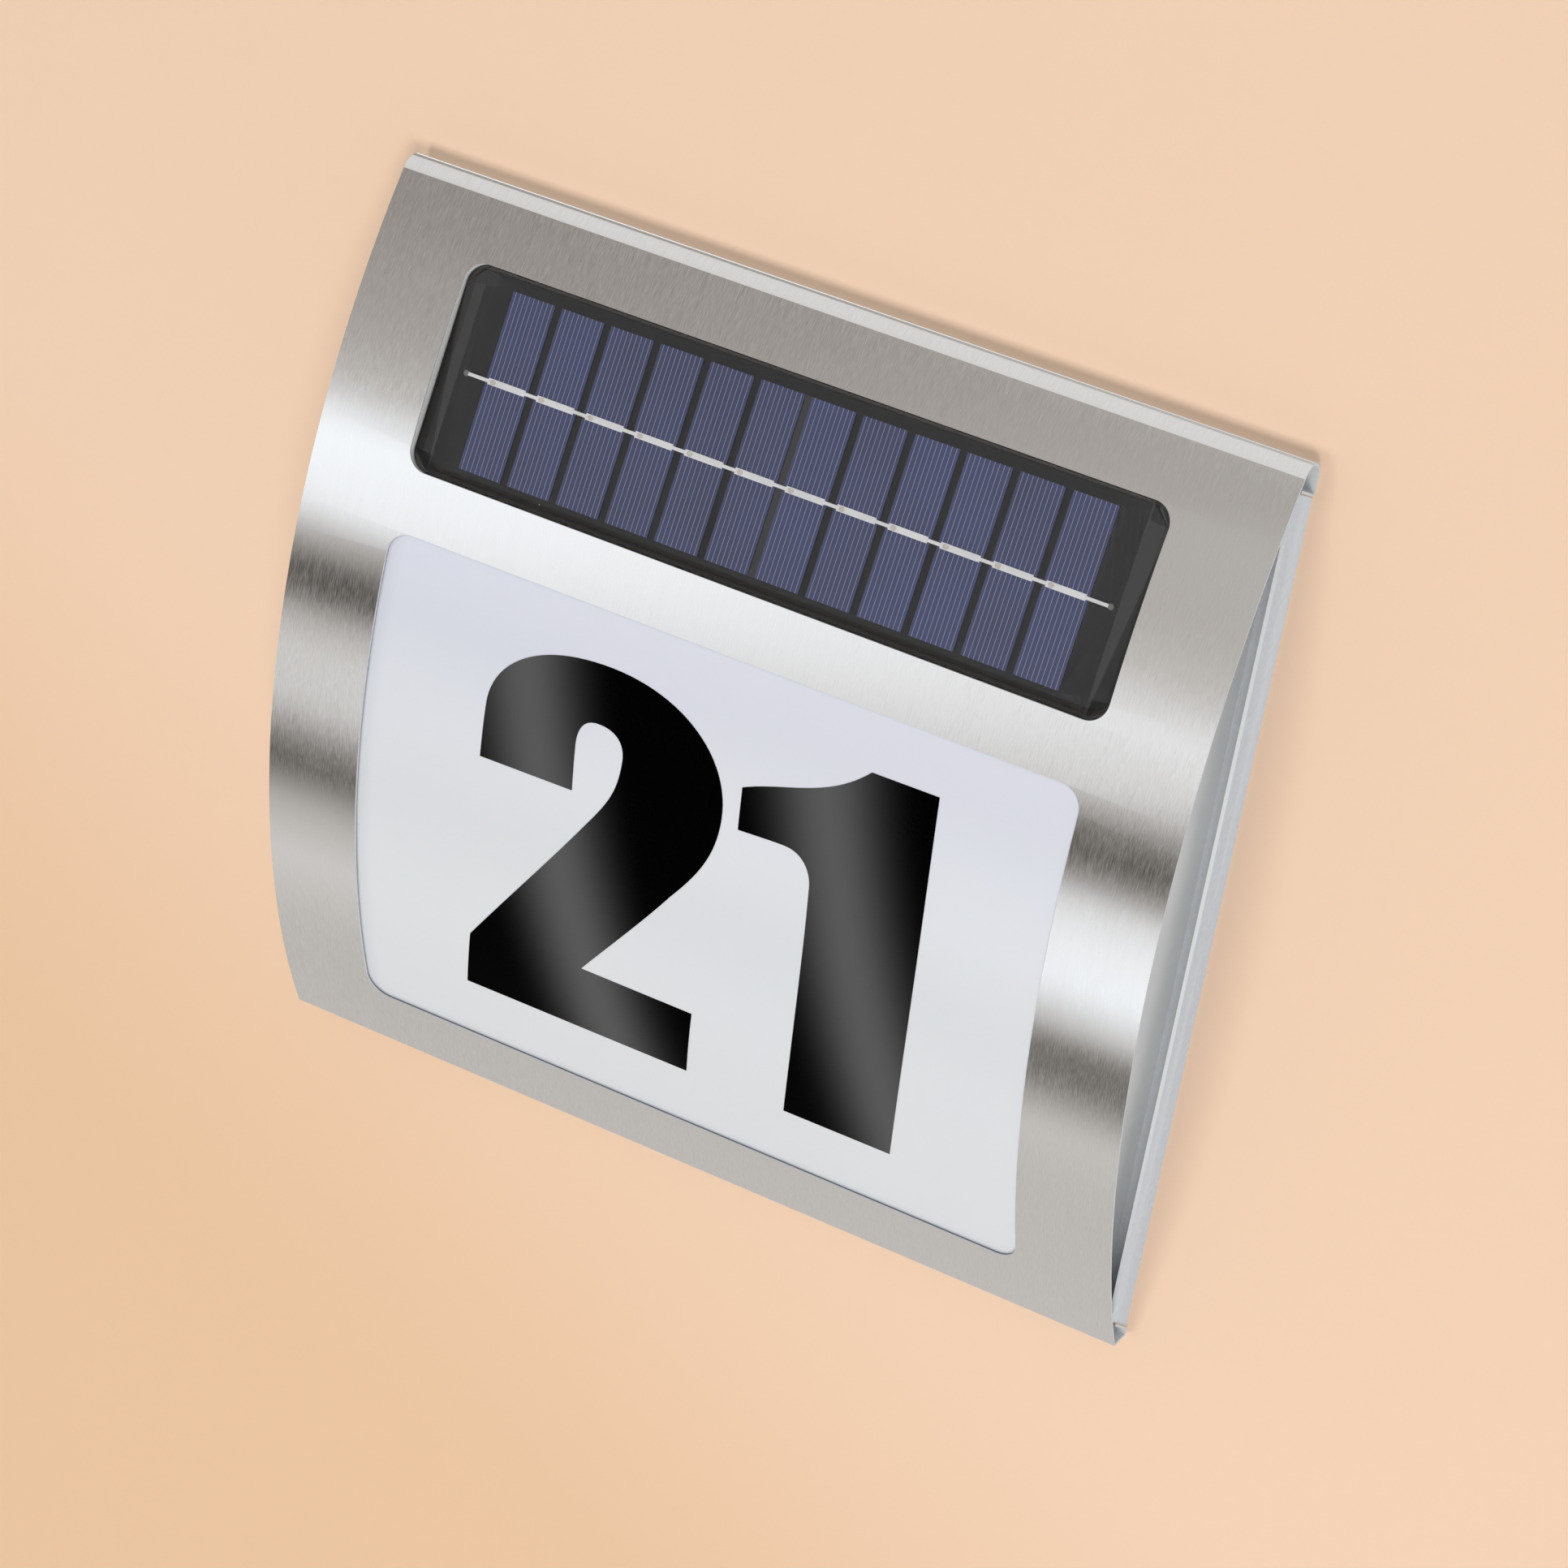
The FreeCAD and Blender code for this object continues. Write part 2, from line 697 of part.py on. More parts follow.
def make_cover():
    sheet_metal = folded_sheet("cover", cover_path(), "cover_width", "sheet_thickness")
    window = slab(
        "window_cutter",
        "y",
        ("-window_width / 2", "window_width / 2"),
        ("far_front", "-flange_depth"),
        ("-window_bottom", "window_top"),
        "window_corner",
    )
    slot = slab(
        "slot_cutter",
        "y",
        ("-slot_width / 2", "slot_width / 2"),
        (from_axis("cover_radius + crest_bend"), from_axis("panel_seat - crest_bend")),
        ("-slot_height / 2", "slot_height / 2"),
        "slot_corner",
    )
    lean(slot)
    screw_holes = [
        rod(
            f"cover_screw_hole_{side}",
            "z",
            ("-tip_drop - tip_bend", "-corner_drop + bottom_return_reach"),
            "cover_screw_radius + screw_play",
            x=x,
            y="-cover_screw_rear",
        )
        for side, x in zip(("left", "right"), mirrored_pair("cover_screw_spacing / 2"))
    ]
    keep("front_cover", cut("front_cover", sheet_metal, [window, slot] + screw_holes))


TOP_SIN = "sin(top_return_angle)"
TOP_COS = "cos(top_return_angle)"
BOTTOM_SIN = "sin(bottom_return_angle)"
BOTTOM_COS = "cos(bottom_return_angle)"


def plate_path():
    """Inner face of the back plate: top flange, wall and bottom flange."""
    sketch = side_sketch("plate_path")
    inner = size.plate_bend - size.plate_thickness
    slope = math.radians(size.top_return_angle)
    rise = math.radians(size.bottom_return_angle)
    top_centre = Vector(-size.plate_bend, size.heel_height - size.plate_bend, 0)
    bottom_centre = Vector(-size.plate_bend, -size.corner_drop + 2 * size.plate_bend, 0)
    top_normal = Vector(math.sin(slope), math.cos(slope), 0)
    bottom_normal = Vector(-math.sin(rise), -math.cos(rise), 0)
    top_start = top_centre + top_normal * inner
    top_end = top_start + Vector(-math.cos(slope), math.sin(slope), 0) * size.top_flange_reach
    bottom_start = bottom_centre + bottom_normal * inner
    bottom_end = bottom_start + Vector(-math.cos(rise), math.sin(rise), 0) * size.bottom_flange_reach
    wall = Vector(inner, 0, 0)
    chain(
        sketch,
        [
            Part.LineSegment(bottom_end, bottom_start),
            arc_between(bottom_centre, bottom_start, bottom_centre + wall),
            Part.LineSegment(bottom_centre + wall, top_centre + wall),
            arc_between(top_centre, top_centre + wall, top_start),
            Part.LineSegment(top_start, top_end),
        ],
    )
    bottom, bottom_arc, wall_line, top_arc, top = range(5)
    sketch.addConstraint(Sketcher.Constraint("Vertical", wall_line))
    hold(sketch, "Radius", bottom_arc, guess=inner, text="plate_bend - plate_thickness")
    hold(sketch, "Radius", top_arc, guess=inner, text="plate_bend - plate_thickness")
    hold(sketch, "DistanceX", wall_line, 1, guess=wall.x, text="-plate_thickness")
    hold(sketch, "DistanceY", bottom_arc, 3, guess=bottom_centre.y, text="bottom_bend_height")
    hold(sketch, "DistanceY", top_arc, 3, guess=top_centre.y, text="top_bend_height")
    hold(sketch, "DistanceX", bottom, 1, guess=bottom_end.x, text="-bottom_flange_reach")
    hold(sketch, "DistanceX", top, 2, guess=top_end.x, text="-top_flange_reach")
    hold(sketch, "Angle", bottom, guess=-rise, text="-bottom_return_angle")
    hold(sketch, "Angle", top, guess=math.pi - slope, text="180 - top_return_angle")
    return sketch


def top_line(depth):
    """Height of the plate's top edge at a depth in front of the wall."""
    return f"top_bend_height + (plate_bend + (({depth}) - plate_bend) * {TOP_SIN}) / {TOP_COS}"


def bottom_line(depth):
    return f"bottom_bend_height - (plate_bend + (plate_bend - ({depth})) * {BOTTOM_SIN}) / {BOTTOM_COS}"


def make_plate(cutouts):
    wall = folded_sheet("plate", plate_path(), "2 * plate_half", "plate_thickness")
    edge = [
        ("0", bottom_line("0")),
        ("-flange_depth", bottom_line("flange_depth")),
        ("-flange_depth", top_line("flange_depth")),
        ("0", top_line("0")),
    ]
    right = padded("plate_right", "YZ", edge, ("plate_half - plate_thickness", "plate_half"))
    left = padded("plate_left", "YZ", edge, ("-plate_half", "plate_thickness - plate_half"))
    tray = fuse("plate_tray", [wall, left, right])
    inside = rod("cover_inside", "x", ("-plate_half", "plate_half"), "housing_radius", y="bow_axis")
    keep("back_plate", cut("back_plate", common("plate_in_cover", tray, inside), cutouts))


def wall_positions():
    """Places of the wall screws: one above and one below in each side channel."""
    return [
        (side + "_" + end, x, z)
        for side, x in zip(("left", "right"), mirrored_pair("channel_centre"))
        for end, z in zip(("low", "high"), mirrored_pair("wall_hole_height"))
    ]


def screw_positions():
    """Places of the screws that fasten the housing to the plate."""
    return [
        (side + "_" + end, x, z)
        for side, x in zip(("left", "right"), mirrored_pair("channel_centre"))
        for end, z in zip(("low", "high"), mirrored_pair("housing_screw_height"))
    ]


# Battery bay: the cell lies along X between its two contacts.
DOOR_X = ("bay_left - door_screw_reach - door_tab", "bay_right + door_screw_reach + door_tab")
DOOR_Z = (
    "(battery_height - battery_radius - door_opening_play - door_lap)",
    "(battery_height + battery_radius + door_opening_play + door_lap)",
)
DOOR_SCREWS = {
    "left": "bay_left - door_screw_reach",
    "right": "bay_right + door_screw_reach",
}


def grown(span, margin):
    return (f"{span[0]} - ({margin})", f"{span[1]} + ({margin})")


def door_opening(name, y, shrink="0"):
    """The hole that the cell passes through, as a block."""
    return slab(
        name,
        "y",
        grown(("bay_left", "bay_right"), f"-({shrink}) - contact_thickness - contact_air"),
        y,
        grown(DOOR_Z, f"-({shrink}) - door_lap"),
        "door_corner / 2",
    )


HOUSING_SPAN = ("-housing_width / 2", "housing_width / 2")


def make_housing():
    bow = rod("housing_bow", "x", HOUSING_SPAN, "housing_radius", y="bow_axis")
    depth = ("far_front", "floor_rear")
    block = box("housing_block", HOUSING_SPAN, depth, ("-housing_bottom", "housing_top"))
    body = common("housing_body", block, bow)

    chamber = box(
        "light_chamber",
        ("-light_width / 2", "light_width / 2"),
        ("far_front", "floor_front"),
        ("-light_bottom", "light_top"),
    )
    pane_block = box(
        "pane_seat_block",
        grown(("-light_width / 2", "light_width / 2"), "pane_lap + pane_play"),
        ("far_front", "floor_front"),
        grown(("-light_bottom", "light_top"), "pane_lap + pane_play"),
    )
    pane_core = rod("pane_seat_core", "x", HOUSING_SPAN, "pane_seat_radius", y="bow_axis")
    pane_seat = cut("pane_seat", pane_block, [pane_core])

    power = box(
        "power_chamber",
        ("-power_width / 2", "power_width / 2"),
        ("far_front", "floor_front"),
        ("power_bottom", "power_top"),
    )
    panel_seat = slab(
        "panel_seat",
        "y",
        ("-slot_width / 2", "slot_width / 2"),
        (from_axis("cover_radius + crest_bend"), from_axis("panel_seat")),
        ("-slot_height / 2", "slot_height / 2"),
        "slot_corner",
    )
    lean(panel_seat)

    channels = [
        box(
            f"channel_{side}",
            span,
            ("far_front", "floor_front"),
            ("-channel_bottom", "channel_top"),
        )
        for side, span in (
            ("left", ("-channel_outer", "-channel_outer + channel_width")),
            ("right", ("channel_outer - channel_width", "channel_outer")),
        )
    ]
    hollow = cut("housing_hollow", body, [chamber, pane_seat, power] + channels)

    # Walls round the cell, bosses for the door's screws and posts for the circuit board.
    bay_wall = box(
        "bay_wall",
        ("bay_left - bay_wall", "bay_right + bay_wall"),
        ("-bay_rim_depth", "floor_front"),
        ("power_bottom", "bay_high + bay_wall"),
    )
    bay_room = box(
        "bay_room",
        ("bay_left", "bay_right"),
        ("far_front", "floor_front"),
        ("power_bottom", "bay_high"),
    )
    bay = cut("bay", bay_wall, [bay_room])
    bosses = [
        rod(
            f"door_boss_{side}",
            "y",
            ("-(door_inset + door_thickness + door_screw_length + bay_wall)", "floor_front"),
            "door_boss_radius",
            x=x,
            z="battery_height",
        )
        for side, x in DOOR_SCREWS.items()
    ]
    posts = [
        rod(
            f"board_post_{number}",
            "y",
            ("floor_front - board_stand", "floor_front"),
            "post_radius",
            x=x,
            z=z,
        )
        for number, (x, z) in enumerate(board_corners())
    ]
    filled = fuse("housing_filled", [hollow, bay] + bosses + posts)

    # Openings through the floor and between the chambers.
    through = ("-(plate_thickness + housing_floor + sheet_thickness)", "sheet_thickness")
    holes = [
        rod(f"wall_hole_{name}", "y", through, "wall_hole_radius", x=x, z=z)
        for name, x, z in wall_positions()
    ]
    holes += [
        rod(f"housing_screw_hole_{name}", "y", through, "housing_screw_radius + screw_play", x=x, z=z)
        for name, x, z in screw_positions()
    ]
    holes += [
        rod(
            f"door_screw_hole_{side}",
            "y",
            ("-(door_inset + door_thickness + door_screw_length)", "0"),
            "door_screw_radius + screw_play",
            x=x,
            z="battery_height",
        )
        for side, x in DOOR_SCREWS.items()
    ]
    holes += [
        rod(
            f"post_hole_{number}",
            "y",
            ("floor_front - board_stand - board_thickness", "floor_front"),
            "board_screw_radius + screw_play / 2",
            x=x,
            z=z,
        )
        for number, (x, z) in enumerate(board_corners())
    ]
    lead_hole = rod(
        "lead_hole",
        "z",
        ("light_top - pane_lap", "power_bottom + pane_lap"),
        "lead_hole_radius",
        x="lead_across",
        y="lamp_axis",
    )
    lead_rear = "-(cell_lead_depth - lead_radius - lead_play)"
    cell_lead_notches = [
        box(
            "positive_lead_notch",
            ("bay_right - contact_thickness", "bay_right + 2 * bay_wall"),
            ("-(bay_rim_depth + sheet_thickness)", lead_rear),
            grown(2 * ("battery_height + lead_lift / 2",), "lead_radius + lead_play"),
        ),
        box(
            "negative_lead_notch",
            ("bay_left - lead_radius", "bay_left + lead_lift"),
            ("-(bay_rim_depth + sheet_thickness)", lead_rear),
            ("battery_height + contact_size / 2 - lead_play", "bay_high + 2 * bay_wall"),
        ),
    ]
    rebate = slab(
        "door_rebate",
        "y",
        grown(DOOR_X, "door_play"),
        ("door_ledge", "0"),
        grown(DOOR_Z, "door_play"),
        "door_corner + door_play",
    )
    opening = door_opening("door_hole", ("floor_front - battery_radius / 2", "0"))
    finger = slab(
        "finger_recess",
        "y",
        ("switch_centre - finger_length / 2", "switch_centre + finger_length / 2"),
        ("-(plate_thickness + finger_depth)", "0"),
        ("switch_height - finger_width / 2", "switch_height + finger_width / 2"),
        "finger_corner",
    )
    knob_slot = box(
        "knob_slot",
        (
            "switch_centre - (knob_length + switch_travel) / 2 - knob_play",
            "switch_centre + (knob_length + switch_travel) / 2 + knob_play",
        ),
        ("floor_front - sheet_thickness", "0"),
        ("switch_height - knob_width / 2 - knob_play", "switch_height + knob_width / 2 + knob_play"),
    )
    tools = holes + cell_lead_notches + [panel_seat, lead_hole, rebate, opening, finger, knob_slot]
    keep("lamp_housing", cut("lamp_housing", filled, tools))


def plate_cutouts():
    """Openings in the back plate for the door, the switch and the screws."""
    through = ("-2 * plate_thickness", "plate_thickness")
    cutouts = [
        slab(
            "door_cutout",
            "y",
            grown(DOOR_X, "door_play + cutout_margin"),
            through,
            grown(DOOR_Z, "door_play + cutout_margin"),
            "door_corner + door_play + cutout_margin",
        ),
        slab(
            "finger_cutout",
            "y",
            grown(
                ("switch_centre - finger_length / 2", "switch_centre + finger_length / 2"),
                "cutout_margin",
            ),
            through,
            grown(
                ("switch_height - finger_width / 2", "switch_height + finger_width / 2"),
                "cutout_margin",
            ),
            "finger_corner + cutout_margin",
        ),
    ]
    cutouts += [
        rod(f"plate_wall_hole_{name}", "y", through, "wall_hole_radius", x=x, z=z)
        for name, x, z in wall_positions()
    ]
    cutouts += [
        rod(f"plate_screw_hole_{name}", "y", through, "housing_screw_radius + screw_play", x=x, z=z)
        for name, x, z in screw_positions()
    ]
    return cutouts


def make_window():
    block = box(
        "pane_block",
        grown(("-light_width / 2", "light_width / 2"), "pane_lap"),
        ("far_front", "-flange_depth / 2"),
        grown(("-light_bottom", "light_top"), "pane_lap"),
    )
    outer = rod("pane_outer", "x", HOUSING_SPAN, "housing_radius", y="bow_axis")
    inner = rod("pane_inner", "x", HOUSING_SPAN, "housing_radius - pane_thickness", y="bow_axis")
    keep("number_window", common("number_window", block, cut("pane_band", outer, [inner])))
    keep(
        "reflector_sheet",
        box(
            "reflector_sheet",
            grown(("-light_width / 2", "light_width / 2"), "-reflector_play"),
            ("floor_front - reflector_thickness", "floor_front"),
            grown(("-light_bottom", "light_top"), "-reflector_play"),
        ),
    )


PANEL_X = ("-(slot_width / 2 - panel_play)", "slot_width / 2 - panel_play")
PANEL_Z = ("-(slot_height / 2 - panel_play)", "slot_height / 2 - panel_play")


def panel_layers(margin):
    """Cells and their ribbon lying on the panel's board, grown by a margin."""
    count = int(size.cell_count)
    cells = []
    pads = []
    for number in range(count):
        middle = f"({number} - (cell_count - 1) / 2) * cell_pitch"
        cells.append(
            box(
                f"cell_{number}_{margin}",
                grown((f"{middle} - cell_width / 2", f"{middle} + cell_width / 2"), margin),
                (from_axis(f"panel_face + cell_thickness + {margin}"), from_axis("panel_face")),
                grown(("-cell_height / 2", "cell_height / 2"), margin),
            )
        )
        pads.append((number, f"{middle} - ribbon_pad_length / 2", f"{middle} + ribbon_pad_length / 2"))
    ribbon_y = (
        from_axis(f"panel_face + cell_thickness + ribbon_thickness + {margin}"),
        from_axis("panel_face + cell_thickness"),
    )
    ribbon = [
        box(
            f"ribbon_{margin}",
            grown(("-ribbon_length / 2", "ribbon_length / 2"), margin),
            ribbon_y,
            grown(("-ribbon_width / 2", "ribbon_width / 2"), margin),
        )
    ]
    ribbon += [
        box(
            f"ribbon_pad_{number}_{margin}",
            grown((left, right), margin),
            ribbon_y,
            grown(("-ribbon_pad_width / 2", "ribbon_pad_width / 2"), margin),
        )
        for number, left, right in pads
    ]
    return cells, ribbon


def make_panel():
    board = slab(
        "panel_board",
        "y",
        PANEL_X,
        (from_axis("panel_face"), from_axis("panel_rear")),
        PANEL_Z,
        "panel_corner",
    )
    keep("panel_board", lean(board))
    cells, ribbon = panel_layers("0")
    keep("solar_cells", lean(group("solar_cells", cells)))
    keep("cell_ribbon", lean(fuse("cell_ribbon", ribbon)))

    resin = slab(
        "resin_block",
        "y",
        PANEL_X,
        (from_axis("panel_front"), from_axis("panel_face")),
        PANEL_Z,
        "panel_corner",
    )
    document.recompute()
    rounded(resin, "resin_edge", rims(resin.Shape, size.bow_axis - size.panel_front, 1))
    hollow_cells, hollow_ribbon = panel_layers("optical_gap")
    keep("panel_resin", lean(cut("panel_resin", resin, hollow_cells + hollow_ribbon)))

    seal_outer = slab(
        "seal_outer",
        "y",
        PANEL_X,
        (from_axis("panel_rear"), from_axis("panel_seat")),
        PANEL_Z,
        "panel_corner",
    )
    seal_inner = slab(
        "seal_inner",
        "y",
        grown(PANEL_X, "-seal_lap"),
        (from_axis("panel_rear + seal_thickness"), from_axis("panel_seat - seal_thickness")),
        grown(PANEL_Z, "-seal_lap / 2"),
        "panel_corner / 2",
    )
    keep("panel_seal", lean(cut("panel_seal", seal_outer, [seal_inner])))


def make_battery():
    chamfer = "nub_height / 2"
    battery = turned(
        "battery",
        [
            ("0", "0"),
            (f"battery_radius - {chamfer}", "0"),
            ("battery_radius", chamfer),
            ("battery_radius", f"battery_length - {chamfer}"),
            (f"battery_radius - {chamfer}", "battery_length"),
            ("nub_radius", "battery_length"),
            ("nub_radius", "battery_length + nub_height"),
            ("0", "battery_length + nub_height"),
        ],
    )
    turned_to(battery, X_AXIS, "battery_left", "-battery_depth", "battery_height")
    keep("battery", battery)

    half = "contact_size / 2"
    keep(
        "positive_contact",
        slab(
            "positive_contact",
            "x",
            ("bay_right - contact_thickness", "bay_right"),
            (f"-battery_depth - {half}", f"-battery_depth + {half}"),
            (f"battery_height - {half}", f"battery_height + {half}"),
            "contact_thickness",
        ),
    )
    plate = slab(
        "spring_plate",
        "x",
        ("bay_left", "bay_left + contact_thickness"),
        (f"-battery_depth - {half}", f"-battery_depth + {half}"),
        (f"battery_height - {half}", f"battery_height + {half}"),
        "contact_thickness",
    )
    coil_path = document.addObject("Part::Helix", "coil_path")
    coil_path.Placement = FreeCAD.Placement(Vector(), TURNS["x"])
    coil_length = "(spring_gap - 2 * spring_wire_radius)"
    bind(
        coil_path,
        Radius="spring_radius",
        Height=coil_length,
        Pitch=f"{coil_length} / spring_turns",
    )
    coil_start = "bay_left + contact_thickness + spring_wire_radius"
    place(coil_path, coil_start, "-battery_depth", "battery_height")
    section = document.addObject("Part::Circle", "coil_section")
    section.Placement = FreeCAD.Placement(Vector(), TURNS["y"])
    bind(section, Radius="spring_wire_radius")
    place(section, coil_start, "-battery_depth", "battery_height - spring_radius")
    coil = document.addObject("Part::Sweep", "coil")
    coil.Sections = [section]
    coil.Spine = (coil_path, ["Edge1"])
    coil.Solid = True
    coil.Frenet = True
    keep("negative_contact", plate)
    keep("battery_spring", coil)


def make_door():
    panel = slab("door_panel", "y", DOOR_X, ("door_inner", "door_outer"), DOOR_Z, "door_corner")
    recesses = []
    screws = []
    for side, x in DOOR_SCREWS.items():
        head_rear = "door_outer - door_head_height"
        recesses.append(
            rod(
                f"door_recess_{side}",
                "y",
                (head_rear, "0"),
                "door_head_radius + door_play",
                x=x,
                z="battery_height",
            )
        )
        recesses.append(
            rod(
                f"door_hole_{side}",
                "y",
                ("door_inner - door_inset", "0"),
                "door_screw_radius + screw_play",
                x=x,
                z="battery_height",
            )
        )
        screw = turned(
            f"door_screw_{side}",
            [
                ("0", "0"),
                ("door_head_radius", "0"),
                ("door_head_radius", "door_head_height / 2"),
                ("door_head_radius * head_crown", "door_head_height - door_inset / 2"),
                ("0", "door_head_height - door_inset / 2"),
            ],
        )
        shank = turned(
            f"door_shank_{side}",
            [
                ("0", "0"),
                ("door_screw_radius", "0"),
                ("door_screw_radius", "-(door_screw_length - door_screw_radius)"),
                ("door_screw_radius / 3", "-door_screw_length"),
                ("0", "-door_screw_length"),
            ],
        )
        for piece in (screw, shank):
            turned_to(piece, Y_AXIS, x, head_rear, "battery_height")
        screws.append(fuse(f"door_screw_solid_{side}", [screw, shank]))
    keep("battery_door", cut("battery_door", panel, recesses))
    keep("door_screws", group("door_screws", screws))

    ring = slab(
        "door_seal_ring",
        "y",
        grown(("bay_left", "bay_right"), "door_lap / 2"),
        ("door_ledge", "door_inner"),
        grown(DOOR_Z, "-door_play"),
        "door_corner",
    )
    inside = door_opening("door_seal_inside", ("door_ledge - door_seal", "door_inner + door_seal"))
    keep("door_seal", cut("door_seal", ring, [inside]))


def board_corners():
    xs = ("(board_left + post_inset)", "(board_left + board_width - post_inset)")
    zs = ("(board_bottom + post_inset)", "(board_top - post_inset)")
    return [(x, z) for x in xs for z in zs]


def make_board():
    board = box(
        "board_blank",
        ("board_left", "board_left + board_width"),
        ("board_face", "board_rear"),
        ("board_bottom", "board_top"),
    )
    holes = [
        rod(
            f"board_hole_{number}",
            "y",
            ("board_face - board_thickness", "board_rear + board_thickness"),
            "board_screw_radius + screw_play",
            x=x,
            z=z,
        )
        for number, (x, z) in enumerate(board_corners())
    ]
    keep("control_board", cut("control_board", board, holes))
    screws = []
    for number, (x, z) in enumerate(board_corners()):
        screw = turned(
            f"board_screw_{number}",
            [
                ("0", "-(board_thickness + board_stand - board_thickness / 2)"),
                ("board_screw_radius", "-(board_thickness + board_stand - board_thickness / 2)"),
                ("board_screw_radius", "0"),
                ("board_head_radius", "0"),
                ("board_head_radius", "board_head_height / 2"),
                ("board_head_radius * head_crown", "board_head_height"),
                ("0", "board_head_height"),
            ],
        )
        screws.append(turned_to(screw, Vector(0, -1, 0), x, "board_face", z))
    keep("board_screws", group("board_screws", screws))

    # Storage coil, driver chip, capacitor and diodes on the front of the board.
    forward = Vector(0, -1, 0)
    low_row = "board_bottom + low_row"
    coil = turned(
        "storage_coil",
        [
            ("0", "0"),
            ("coil_radius", "0"),
            ("coil_radius", "coil_rim"),
            ("coil_waist", "coil_rim + coil_slope"),
            ("coil_waist", "coil_height - coil_rim - coil_slope"),
            ("coil_radius", "coil_height - coil_rim"),
            ("coil_radius", "coil_height"),
            ("0", "coil_height"),
        ],
    )
    keep("storage_coil", turned_to(coil, forward, "board_left + coil_place", "board_face", low_row))
    can = turned(
        "capacitor",
        [
            ("0", "0"),
            ("capacitor_radius", "0"),
            ("capacitor_radius", "capacitor_height - capacitor_bevel"),
            ("capacitor_radius - capacitor_bevel", "capacitor_height"),
            ("0", "capacitor_height"),
        ],
    )
    keep("capacitor", turned_to(can, forward, "board_left + capacitor_place", "board_face", low_row))
    keep(
        "driver_chip",
        box(
            "driver_chip",
            ("board_left + chip_place", "board_left + chip_place + chip_length"),
            ("board_face - chip_height", "board_face"),
            ("board_bottom + high_row - chip_width / 2", "board_bottom + high_row + chip_width / 2"),
        ),
    )
    diodes = []
    for number in range(int(size.diode_count)):
        left = f"(board_left + diode_place + {number} * diode_pitch)"
        diodes.append(
            box(
                f"diode_{number}",
                (left, f"{left} + diode_length"),
                ("board_face - diode_height", "board_face"),
                ("board_bottom + high_row - diode_width / 2", "board_bottom + high_row + diode_width / 2"),
            )
        )
    keep("diodes", group("diodes", diodes))


def make_switch():
    face = "board_rear + switch_depth"
    block = box(
        "switch_block",
        ("switch_centre - switch_length / 2", "switch_centre + switch_length / 2"),
        ("board_rear", face),
        ("switch_height - switch_width / 2", "switch_height + switch_width / 2"),
    )
    pocket = box(
        "switch_pocket",
        grown(("knob_left", "knob_left + knob_length + switch_travel"), "knob_play"),
        (f"{face} - knob_root", f"{face} + knob_root"),
        grown(("switch_height - knob_width / 2", "switch_height + knob_width / 2"), "knob_play"),
    )
    keep("switch_body", cut("switch_body", block, [pocket]))
    knob = box(
        "switch_knob",
        ("knob_left", "knob_left + knob_length"),
        (f"{face} - knob_root", "-(plate_thickness + door_inset)"),
        ("switch_height - knob_width / 2", "switch_height + knob_width / 2"),
    )
    keep("switch_knob", knob)


def make_lamps():
    board = box(
        "lamp_board",
        ("-lamp_board_length / 2", "lamp_board_length / 2"),
        ("-(lamp_board_rear + lamp_board_width)", "-lamp_board_rear"),
        ("light_top - lamp_board_thickness", "light_top"),
    )
    keep("lamp_board", board)
    lamps = []
    for number in range(int(size.lamp_count)):
        lamp = turned(
            f"lamp_{number}",
            [
                ("0", "0"),
                ("lamp_radius", "0"),
                ("lamp_radius", "lamp_base"),
                ("lamp_shoulder", "lamp_height - lamp_bevel"),
                ("lamp_crown", "lamp_height"),
                ("0", "lamp_height"),
            ],
        )
        x = f"({number} - (lamp_count - 1) / 2) * lamp_pitch"
        face = "light_top - lamp_board_thickness"
        lamps.append(turned_to(lamp, Vector(0, 0, -1), x, "lamp_axis", face))
    keep("lamps", group("lamps", lamps))


def make_screws():
    screws = []
    for name, x, z in screw_positions():
        screw = turned(
            f"housing_screw_{name}",
            [
                ("0", "-(housing_floor + plate_thickness / 2)"),
                ("housing_screw_radius", "-(housing_floor + plate_thickness / 2)"),
                ("housing_screw_radius", "0"),
                ("housing_head_radius", "0"),
                ("housing_head_radius", "housing_head_height / 2"),
                ("housing_head_radius * head_crown", "housing_head_height"),
                ("0", "housing_head_height"),
            ],
        )
        screws.append(turned_to(screw, Vector(0, -1, 0), x, "floor_front", z))
    keep("housing_screws", group("housing_screws", screws))

    low = "-(tip_drop + cover_screw_proud)"
    high = f"({bottom_line('cover_screw_rear')} - cover_screw_tip_gap)"
    grubs = []
    for side, x in zip(("left", "right"), mirrored_pair("cover_screw_spacing / 2")):
        blank = rod(
            f"grub_blank_{side}",
            "z",
            (low, high),
            "cover_screw_radius",
            x=x,
            y="-cover_screw_rear",
        )
        socket = rod(
            f"grub_socket_{side}",
            "z",
            (f"{low} - cover_screw_proud", f"{low} + cover_screw_proud"),
            "cover_screw_hex",
            x=x,
            y="-cover_screw_rear",
        )
        grubs.append(cut(f"grub_{side}", blank, [socket]))
    keep("cover_screws", group("cover_screws", grubs))


